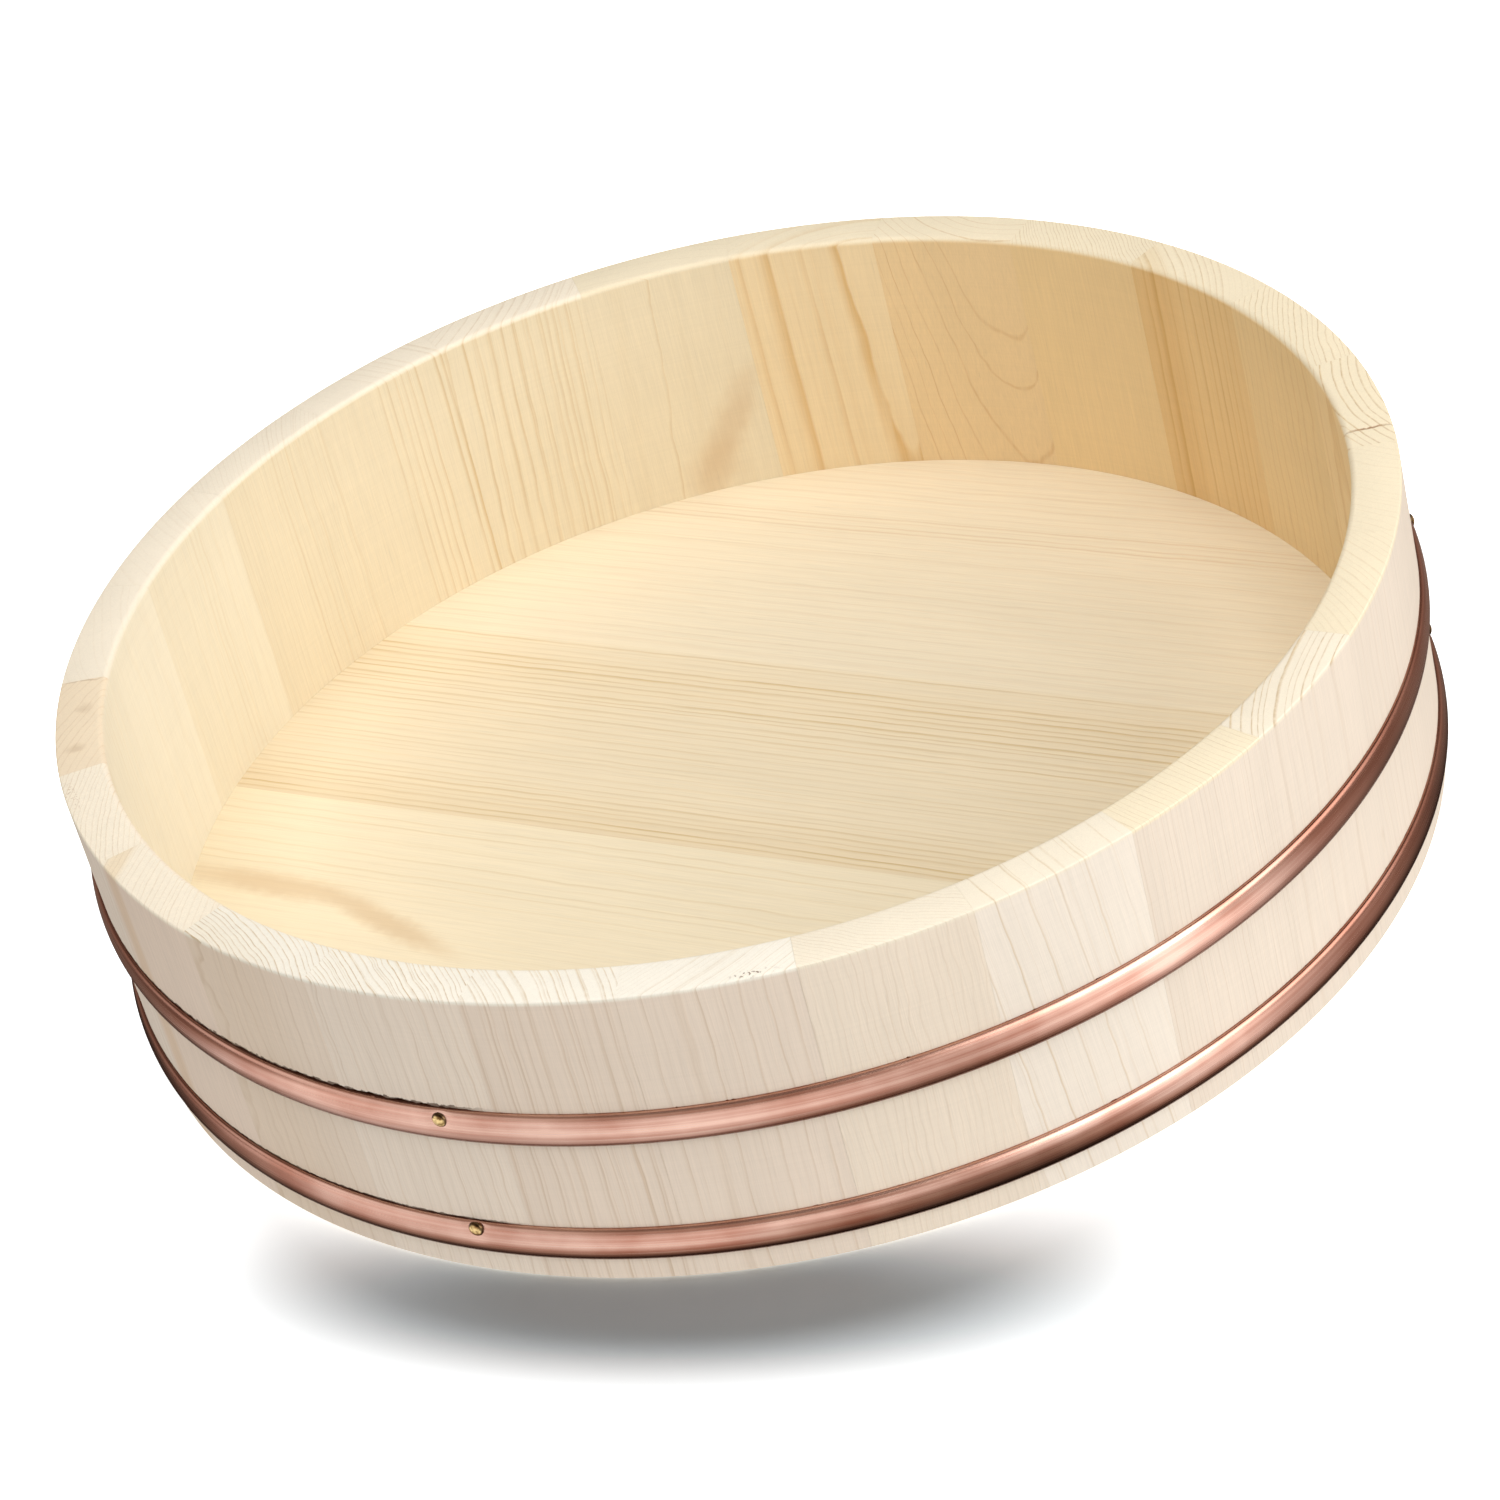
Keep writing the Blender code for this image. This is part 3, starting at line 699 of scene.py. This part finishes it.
# For each board from the front: where the heart of its log lies across and up, the strength of its
# rings, then what else it shows.
FLOOR_GRAIN = (
    # The first two boards are given a paler tone, painted light that lifts the shade of the front wall on
    # them.
    ((-0.300, -0.050), 0.20, {"Ring Width": 0.0026, "tone": (1.030, 1.040, 1.000)}),
    ((-0.260, -0.060), 0.10, {
        "Ring Width": 0.0024, "waver": 0.7, "tone": (1.030, 1.035, 0.990),
        "marks": ((-27, 0.9, 0.35), (-30, 0.8, 0.3), (-36, 0.8, 0.25), (-42, 0.9, 0.3), (-48, 0.8, 0.2),
                  (-50.5, 0.8, 0.2), (-55, 0.9, 0.2)),
        "stains": (
            ((-0.118, -0.0580, 0.009), (0, 0, -0.04), (0.040, 0.0065, 0.008), 0.45, ORANGE_BROWN, 0.0010),
            ((-0.078, -0.0660, 0.009), (0, 0, -0.33), (0.034, 0.0055, 0.008), 0.48, ORANGE_BROWN, 0.0010))}),
    ((-0.300, -0.040), ((-24, 0.80), (-10, 0.60), (-6, 0.40), (0, 0.30), (20, 0.40), (30, 0.65), (36, 0.80),
                        (46, 0.80), (48, 0.25), (54, 0.15)), {
        "Ring Width": 0.0021, "waver": 0.45,
        "tint": ((-24, 0.40), (-16, 0.22), (-10, 0.10), (-4, 0.0), (26, 0.0), (36, 0.12), (46, 0.10),
                 (48, 0.0)),
        "marks": ((53, 0.9, 0.5), (22, 0.9, 0.4))}),
    ((-0.300, -0.060), 0.16, {
        "Ring Width": 0.0028, "waver": 0.6, "tone": (1.010, 1.020, 1.000), "Late Wood": ORANGE_BROWN,
        "marks": ((122, 0.9, 0.45), (118, 0.9, 0.4), (116, 0.8, 0.5), (138, 1.0, 0.2), (132, 1.0, 0.2),
                  (105, 1.0, 0.2))}),
)

edges = (None, *FLOOR_SEAMS, None)
for number, (heart, contrast, more) in enumerate(FLOOR_GRAIN, start=1):
    board = take_copy(whole_floor, f"board_{number}")
    cut_board(edges[number - 1], edges[number])
    board.data.materials.clear()
    board.data.materials.append(floor_spruce(number, heart, contrast, **more))
    bpy.ops.object.shade_smooth_by_angle(angle=math.radians(28))
    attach(board, "root")
    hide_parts(f"floor_board_{number}")
bpy.data.objects.remove(whole_floor)

# Hoops
# Two rings of drawn copper strip, flat inside and crowned outside, brazed closed and driven on to
# the wall from below into their seats. The drawing die left fine lines along them.
HOOP_HEIGHTS = {"upper": 0.0442, "lower": 0.0110}
HOOP_HALF_WIDTH = 0.0044
HOOP_BACK_RADIUS = 0.1642
HOOP_EDGE_RADIUS = 0.1653
HOOP_CROWN = 0.0015
NAIL_ANGLES = [math.radians(272.9 + 120 * turn) for turn in range(3)]
NAIL_RISES = {"upper": 0.0018, "lower": 0.0028}
DENT_MIDDLE_RADIUS = OUTER_RADIUS + 0.0017
DENT_REACH = 0.0040
DENT_DEPTH = 0.00050
BRIGHT_COPPER = (0.76, 0.495, 0.400, 1)
DULL_COPPER = (0.45, 0.195, 0.135, 1)
# Painted shade for the hoops' sides and back, kept off their front.
SIDE_SHADE_COPPER = (0.33, 0.140, 0.095, 1)
# Painted shade for the hoops' lower part.
SHADED_UNDERSIDE_COPPER = (0.22, 0.085, 0.052, 1)
SCRATCH_COPPER = (0.13, 0.05, 0.03, 1)
FRONT_OF_HOOPS = (2.37, -5.58, 0)
SCRATCHES = ((0.0035, 0.8), (0.0027, 0.45))
UNDERSIDE_SHADE_TOPS = {"upper": 0.0006, "lower": -0.0008}


def two_tones(tree, share, dull_at, dull, bright_at, bright):
    """A colour that turns from one tone to another between two shares."""
    ramp = put(tree, "ValToRGB", {"Fac": share})
    ramp.color_ramp.elements[0].position = dull_at
    ramp.color_ramp.elements[0].color = dull
    ramp.color_ramp.elements[1].position = bright_at
    ramp.color_ramp.elements[1].color = bright
    return ramp.outputs["Color"]


def drawn_copper(level, height):
    """Copper whose draw lines run round one hoop. It has two scratches near its lower edge, painted shade
    along its lower part, and mottled painted shade on its sides and back that fades out at the front."""
    material, tree, shader = new_finish(f"drawn_copper_{level}")
    shader.inputs["Metallic"].default_value = 1.0
    seen = put(tree, "TexCoord").outputs["Object"]
    apart = put(tree, "SeparateXYZ", {0: seen}).outputs
    across = sums(tree, "SUBTRACT", apart["Z"], height)
    squeezed = sums(tree, "MULTIPLY", across, 170.0)
    drawn = put(tree, "CombineXYZ", {0: apart["X"], 1: apart["Y"], 2: squeezed}).outputs[0]
    draw_lines = mottle(tree, drawn, 16.0, 4.0, 0.7)
    tarnish = mottle(tree, seen, 48.0, 3.0)
    streak = mottle(tree, drawn, 5.0)
    mixed = sums(tree, "MULTIPLY_ADD", tarnish, 0.46, sums(tree, "MULTIPLY", draw_lines, 0.16))
    mixed = sums(tree, "MULTIPLY_ADD", streak, 0.38, mixed)
    copper = two_tones(tree, mixed, 0.36, DULL_COPPER, 0.59, BRIGHT_COPPER)
    # Painted shade on the hoop's sides and back, broken up by a mottle and fading out at the front.
    toward_front = sums(tree, "MULTIPLY_ADD", mottle(tree, seen, 11.0), 0.5, toward(tree, seen, FRONT_OF_HOOPS))
    painted_side_shade = step_up(tree, toward_front, 0.80, 1.12, 0.75, 0.0)
    copper = blended(tree, painted_side_shade, copper, SIDE_SHADE_COPPER)
    # Painted shade: the lower part of the hoop is darkened.
    streaky = sums(tree, "MULTIPLY_ADD", streak, 0.0010, across)
    painted_underside_shade = step_up(tree, streaky, -0.0030, UNDERSIDE_SHADE_TOPS[level], 0.80, 0.0)
    copper = blended(tree, painted_underside_shade, copper, SHADED_UNDERSIDE_COPPER)
    wavering = sums(tree, "MULTIPLY_ADD", mottle(tree, seen, 18.0), 0.0008, across)
    scratches = []
    for below, depth in SCRATCHES:
        apart_by = sums(tree, "ABSOLUTE", sums(tree, "ADD", wavering, below))
        scratches.append(step_up(tree, apart_by, 0.00008, 0.00028, depth, 0.0))
    scratch = sums(tree, "MAXIMUM", *scratches)
    copper = blended(tree, scratch, copper, SCRATCH_COPPER)
    tree.links.new(copper, shader.inputs["Base Color"])
    shader.inputs["Anisotropic"].default_value = 0.5
    tangent = put(tree, "Tangent", direction_type="RADIAL", axis="Z").outputs[0]
    tree.links.new(tangent, shader.inputs["Tangent"])
    tree.links.new(sums(tree, "MULTIPLY_ADD", draw_lines, 0.12, 0.20), shader.inputs["Roughness"])
    relief = sums(tree, "MULTIPLY_ADD", scratch, -1.0, draw_lines)
    bump = put(tree, "Bump", {"Strength": 0.16, "Distance": 0.0001, "Height": relief})
    tree.links.new(bump.outputs[0], shader.inputs["Normal"])
    return material


def turn_hoop(name, height):
    """Turn the half-oval section of the copper strip about the tub's axis."""
    bpy.ops.object.select_all(action="DESELECT")
    bpy.ops.mesh.primitive_circle_add(
        vertices=40,
        radius=1,
        fill_type="NGON",
        location=(HOOP_EDGE_RADIUS, 0, height),
        rotation=(math.pi / 2, 0, 0),
    )
    hoop = bpy.context.active_object
    hoop.name = name
    hoop.scale = (HOOP_CROWN, HOOP_HALF_WIDTH, 1)
    bpy.ops.object.transform_apply(location=True, rotation=True, scale=True)
    bpy.ops.object.mode_set(mode="EDIT")
    slice_through((HOOP_EDGE_RADIUS, 0, 0), (-1, 0, 0), clear_outer=True)
    pick("EDGE", lambda p: p.x < HOOP_EDGE_RADIUS + 1e-6)
    to_back = (HOOP_BACK_RADIUS - HOOP_EDGE_RADIUS, 0, 0)
    bpy.ops.mesh.extrude_region_move(TRANSFORM_OT_translate={"value": to_back})
    pick_all()
    bpy.ops.mesh.dissolve_faces()
    pick_all()
    bpy.ops.mesh.delete(type="ONLY_FACE")
    pick_all()
    bpy.ops.mesh.spin(steps=1000, angle=2 * math.pi, center=(0, 0, 0), axis=(0, 0, 1))
    pick_all()
    bpy.ops.mesh.remove_doubles(threshold=0.00002)
    bpy.ops.mesh.normals_make_consistent(inside=False)
    bpy.ops.object.mode_set(mode="OBJECT")
    return hoop


def dent_hoop(hoop, angle, height):
    """Press the hoop in round a nail's head."""
    seat = Vector((math.cos(angle) * DENT_MIDDLE_RADIUS, math.sin(angle) * DENT_MIDDLE_RADIUS, height))
    inward = Vector((-math.cos(angle), -math.sin(angle), 0))
    for vertex in hoop.data.vertices:
        reach = (vertex.co - seat).length
        if reach < DENT_REACH:
            vertex.co += inward * DENT_DEPTH * (0.5 + 0.5 * math.cos(math.pi * (reach / DENT_REACH)))


for level, height in HOOP_HEIGHTS.items():
    hoop = turn_hoop(f"copper_{level}_hoop", height)
    for angle in NAIL_ANGLES:
        dent_hoop(hoop, angle, height + NAIL_RISES[level])
    hoop.data.materials.append(drawn_copper(level, height))
    bpy.ops.object.shade_smooth_by_angle(angle=math.radians(40))
    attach(hoop, "root")
    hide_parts(f"{level}_hoop")

# Nails
# Small brass nails with domed heads, driven through the hoops into the staves. The heads are
# hammered down until they press a shallow dish in the copper, and are darker round their edges.
NAIL_HEAD_RADIUS = 0.00192
NAIL_HEAD_HEIGHT = 0.0013
NAIL_HEAD_SEAT = 0.1660
NAIL_SHANK_RADIUS = 0.0006
NAIL_SHANK_LENGTH = 0.0075
BRIGHT_BRASS = (0.85, 0.62, 0.29, 1)
DULL_BRASS = (0.30, 0.19, 0.070, 1)
NAIL_EDGE_DARK = (0.07, 0.04, 0.02, 1)


def nail_brass(name, head):
    """Old brass for a head at one place: bright on the dome, dark where it meets the copper."""
    material, tree, shader = new_finish(name)
    shader.inputs["Metallic"].default_value = 1.0
    seen = put(tree, "TexCoord").outputs["Object"]
    spots = mottle(tree, seen, 1100.0)
    brass = two_tones(tree, spots, 0.35, DULL_BRASS, 0.62, BRIGHT_BRASS)
    from_head = put(tree, "VectorMath", {0: seen, 1: head}, operation="DISTANCE").outputs["Value"]
    darkening = step_up(tree, from_head, 0.00160, 0.00180, 0.0, 0.95)
    tree.links.new(blended(tree, darkening, brass, NAIL_EDGE_DARK), shader.inputs["Base Color"])
    tree.links.new(sums(tree, "MULTIPLY_ADD", spots, 0.2, 0.10), shader.inputs["Roughness"])
    return material


def make_nail(name, angle, height):
    """A nail with a half-round head, its shank pointing at the tub's axis."""
    bpy.ops.object.select_all(action="DESELECT")
    bpy.ops.mesh.primitive_uv_sphere_add(segments=32, ring_count=20, radius=1)
    nail = bpy.context.active_object
    nail.name = name
    nail.scale = (NAIL_HEAD_RADIUS, NAIL_HEAD_RADIUS, NAIL_HEAD_HEIGHT)
    bpy.ops.object.transform_apply(location=True, rotation=True, scale=True)
    bpy.ops.object.mode_set(mode="EDIT")
    slice_through((0, 0, 0), (0, 0, -1), use_fill=True, clear_outer=True)
    pick("FACE", lambda p: p.z < 1e-6)
    bpy.ops.mesh.inset(thickness=NAIL_HEAD_RADIUS - NAIL_SHANK_RADIUS)
    bpy.ops.mesh.extrude_region_move(TRANSFORM_OT_translate={"value": (0, 0, -NAIL_SHANK_LENGTH)})
    bpy.ops.object.mode_set(mode="OBJECT")
    nail.rotation_euler = (0, math.pi / 2, angle)
    nail.location = (math.cos(angle) * NAIL_HEAD_SEAT, math.sin(angle) * NAIL_HEAD_SEAT, height)
    bpy.ops.object.transform_apply(location=True, rotation=True, scale=True)
    return nail


for level, height in HOOP_HEIGHTS.items():
    for number, angle in enumerate(NAIL_ANGLES, start=1):
        nail_height = height + NAIL_RISES[level]
        nail = make_nail(f"brass_{level}_nail_{number}", angle, nail_height)
        head = (math.cos(angle) * NAIL_HEAD_SEAT, math.sin(angle) * NAIL_HEAD_SEAT, nail_height)
        nail.data.materials.append(nail_brass(f"nail_brass_{level}_{number}", head))
        bpy.ops.object.shade_smooth_by_angle(angle=math.radians(50))
        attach(nail, "root")
        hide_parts(f"{level}_nail_{number}")

# Studio
# A white paper sweep under the tub, lit by a wide soft lamp from behind so that the tub's shadow
# falls towards the camera, and a dim room with soft lamps on the tub's right, above and left.
WHITE = (1, 1, 1, 1)
PAPER = (0.765, 0.800, 0.820, 1)
# A painted shadow on the paper close behind the tub's foot.
PAINTED_FOOT_SHADOW = (0.30, 0.29, 0.28, 1)
SHADOW_TINGE = (0.62, 0.86, 1, 1)
WARM_TINGE = (1, 0.74, 0.60, 1)
ROOM_LIGHT = 0.11
AWAY_FROM_CAMERA = (-0.583, 0.812, 0)
SHADOW_MIDDLE = (0.0575, -0.1625, 0)
SHADOW_LENGTHWAYS = (6.65, 3.59, 0)
SHADOW_CROSSWAYS = (7.70, -31.20, 0)

# The brighter and darker parts that the copper mirrors, as degrees about the tub and strengths: the
# floor, the floor close to the foot, and the room. These painted reflections glow for glossy rays alone.
# They were set by comparing the copper's tone with the photograph's.
FLOOR_IN_COPPER = (
    (0, 1.00), (6, 0.70), (16, 0.38), (60, 0.35), (120, 0.40), (180, 0.30), (212, 0.25), (220, 0.35),
    (226, 0.60), (231, 0.95), (238, 1.45), (246, 1.30), (260, 1.18), (272, 1.05), (283, 1.22), (294, 1.28),
    (303, 1.32), (309, 1.03), (314, 0.84), (319, 0.88), (325, 1.25), (335, 1.75), (348, 1.85), (355, 1.22),
    (360, 1.00),
)
FOOT_IN_COPPER = (
    (0, 0.65), (20, 0.65), (60, 1.00), (170, 1.00), (190, 0.15), (225, 0.15), (234, 0.18), (238, 0.36),
    (243, 0.43), (247, 0.66), (251, 0.80), (256, 1.00), (291, 1.00), (299, 0.55), (308, 0.38), (322, 0.37),
    (330, 0.62), (340, 0.85), (348, 0.62), (360, 0.65),
)
ROOM_IN_COPPER = (
    (0, 2.20), (12, 1.50), (34, 0.90), (60, 0.50), (120, 0.40), (160, 0.30), (178, 0.35), (190, 0.90),
    (204, 1.45), (230, 1.10), (254, 0.75), (280, 0.50), (312, 0.50), (332, 1.60), (350, 3.00), (360, 2.20),
)


def round_about(tree, apart, points):
    """A value that changes with the angle of a place about the tub, from (degrees, value) points."""
    angle = sums(tree, "ARCTAN2", apart["Y"], apart["X"])
    inputs = {"Value": angle, "From Min": -math.pi, "From Max": math.pi}
    share = put(tree, "MapRange", inputs).outputs["Result"]
    share = sums(tree, "FRACT", sums(tree, "ADD", share, 0.5))
    return ramped(tree, share, [(degrees / 360, value) for degrees, value in points])


bpy.ops.object.select_all(action="DESELECT")
bpy.ops.mesh.primitive_plane_add(size=8, location=(0, 0, -0.0002))
sweep = bpy.context.active_object
sweep.name = "sweep"
sweep_paper, tree, shader = new_finish("sweep_paper")
shader.inputs["Roughness"].default_value = 0.9
shader.inputs["Specular IOR Level"].default_value = 0.0
on_floor = put(tree, "TexCoord").outputs["Object"]
apart = put(tree, "SeparateXYZ", {0: on_floor}).outputs
from_middle = length_of(tree, on_floor)

# The tub's shadow is a soft ellipse in which the paper's own brightness is held back, with a painted
# shadow close behind the foot.
in_shadow = put(tree, "VectorMath", {0: on_floor, 1: SHADOW_MIDDLE}, operation="SUBTRACT").outputs[0]
lengthways = toward(tree, in_shadow, SHADOW_LENGTHWAYS)
crossways = toward(tree, in_shadow, SHADOW_CROSSWAYS)
crossways = sums(tree, "MULTIPLY", crossways, crossways)
from_shadow = sums(tree, "SQRT", sums(tree, "MULTIPLY_ADD", lengthways, lengthways, crossways))
behind = toward(tree, on_floor, AWAY_FROM_CAMERA)
clear_of_foot_shadow = sums(tree, "MAXIMUM", step_up(tree, from_middle, 0.155, 0.200),
                  step_up(tree, behind, 0.01, 0.09, 1.0, 0.0))
tree.links.new(blended(tree, clear_of_foot_shadow, PAINTED_FOOT_SHADOW, PAPER), shader.inputs["Base Color"])
glow = sums(tree, "MULTIPLY", step_up(tree, from_shadow, 0.27, 1.34, 0.07, 0.90), clear_of_foot_shadow)
tinge = blended(tree, step_up(tree, from_shadow, 0.30, 0.75), SHADOW_TINGE, WHITE)
plain = put(tree, "Emission", {"Color": tinge, "Strength": glow})
paper = put(tree, "AddShader", {0: shader.outputs[0], 1: plain.outputs[0]})

# The copper mirrors a painted reflection of the floor by the lists above, and for diffuse rays the floor
# glows as painted bounce light on the wood.
painted_reflection = round_about(tree, apart, FLOOR_IN_COPPER)
painted_reflection = sums(tree, "MULTIPLY", painted_reflection, step_up(tree, from_middle, 0.167, 0.180, 0.08, 1.0))
near_foot = round_about(tree, apart, FOOT_IN_COPPER)
near_foot = sums(tree, "MAXIMUM", near_foot, step_up(tree, from_middle, 0.180, 0.205))
painted_reflection = sums(tree, "MULTIPLY", painted_reflection, near_foot)
ray = put(tree, "LightPath").outputs
# Painted bounce light: for diffuse rays the floor glows, brighter near the foot.
painted_bounce = step_up(tree, from_middle, 0.17, 0.40, 1.10, 0.80)
strength = sums(tree, "MAXIMUM", sums(tree, "MULTIPLY", ray["Is Glossy Ray"], painted_reflection),
                sums(tree, "MULTIPLY", ray["Is Diffuse Ray"], painted_bounce))
hue = blended(tree, step_up(tree, painted_reflection, 0.3, 1.2), WARM_TINGE, WHITE)
hue = blended(tree, ray["Is Glossy Ray"], WHITE, hue)
indirect = put(tree, "Emission", {"Color": hue, "Strength": strength})
straight = sums(tree, "MAXIMUM", ray["Is Camera Ray"], ray["Is Transmission Ray"])
both = put(tree, "MixShader", {0: straight, 1: indirect.outputs[0], 2: paper.outputs[0]})
tree.links.new(both.outputs[0], tree.nodes["Material Output"].inputs["Surface"])
sweep.data.materials.append(sweep_paper)
sweep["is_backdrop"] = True

world = bpy.data.worlds.new("room")
bpy.context.scene.world = world
world.use_nodes = True
tree = world.node_tree
ray = put(tree, "LightPath").outputs
facing = put(tree, "SeparateXYZ", {0: put(tree, "TexCoord").outputs["Generated"]}).outputs
backdrop = sums(tree, "MAXIMUM", ray["Is Camera Ray"], ray["Is Transmission Ray"])
# Painted reflection: for glossy rays alone the room glows by the list above.
painted_reflection = round_about(tree, facing, ROOM_IN_COPPER)
painted_reflection = sums(tree, "MULTIPLY", painted_reflection, step_up(tree, facing["Z"], 0.35, 0.65, 1.0, 0.35))
painted_reflection = sums(tree, "MULTIPLY", ray["Is Glossy Ray"], painted_reflection)
strength = sums(tree, "MAXIMUM", sums(tree, "MAXIMUM", backdrop, painted_reflection), ROOM_LIGHT)
room = tree.nodes["Background"]
dim = sums(tree, "MULTIPLY", ray["Is Glossy Ray"], step_up(tree, painted_reflection, 0.3, 1.2, 1.0, 0.0))
tree.links.new(blended(tree, dim, WHITE, WARM_TINGE), room.inputs["Color"])
tree.links.new(strength, room.inputs["Strength"])

# The back light falls on the sweep alone, and the soft lamps on all but the sweep.
on_sweep = bpy.data.collections.new("sweep_alone")
on_sweep.objects.link(sweep)
off_sweep = bpy.data.collections.new("all_but_sweep")
off_sweep.objects.link(sweep)
off_sweep.collection_objects[0].light_linking.link_state = "EXCLUDE"


def place_lamp(name, azimuth, elevation, distance, size, power, in_copper):
    """A soft lamp aimed at the tub, its place given as angles about the tub's middle."""
    a, e = math.radians(azimuth), math.radians(elevation)
    lamp = bpy.data.lights.new(name, "AREA")
    lamp.shape = "RECTANGLE"
    lamp.size, lamp.size_y = size
    lamp.energy = power
    holder = bpy.data.objects.new(name, lamp)
    way = Vector((math.cos(a) * math.cos(e), math.sin(a) * math.cos(e), math.sin(e)))
    holder.location = Vector((0, 0, WALL_HEIGHT / 2)) + way * distance
    holder.rotation_euler = way.to_track_quat("Z", "Y").to_euler()
    holder.light_linking.receiver_collection = off_sweep
    holder.visible_glossy = in_copper
    bpy.context.scene.collection.objects.link(holder)


place_lamp("side_lamp", azimuth=5, elevation=25, distance=1.7, size=(2.2, 1.2), power=19.5, in_copper=True)
place_lamp("top_lamp", azimuth=-60, elevation=75, distance=1.6, size=(1.6, 1.6), power=23.5, in_copper=False)
place_lamp("left_lamp", azimuth=235, elevation=18, distance=1.8, size=(1.2, 0.8), power=2.2, in_copper=False)

soft_sun = bpy.data.lights.new("back_light", "SUN")
soft_sun.energy = 4.0
soft_sun.angle = math.radians(28)
back_light = bpy.data.objects.new("back_light", soft_sun)
from_back = Vector((math.cos(math.radians(117)) * 0.46, math.sin(math.radians(117)) * 0.46, 0.888))
back_light.rotation_euler = from_back.to_track_quat("Z", "Y").to_euler()
back_light.light_linking.receiver_collection = on_sweep
bpy.context.scene.collection.objects.link(back_light)

# Camera
# It stands where the photograph's camera stood, as found from the outlines of rim, foot and hoops,
# and is rolled as that one was.
camera = bpy.data.cameras.new("camera")
camera.sensor_width = 36
camera.lens = 107.79
viewer = bpy.data.objects.new("camera", camera)
viewer.location = (0.53903, -0.75013, 0.64528)
viewer.rotation_euler = (math.radians(55.2026), math.radians(12.4900), math.radians(27.3822))
bpy.context.scene.collection.objects.link(viewer)
bpy.context.scene.camera = viewer
bpy.context.scene.view_settings.view_transform = "Standard"

low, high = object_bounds()
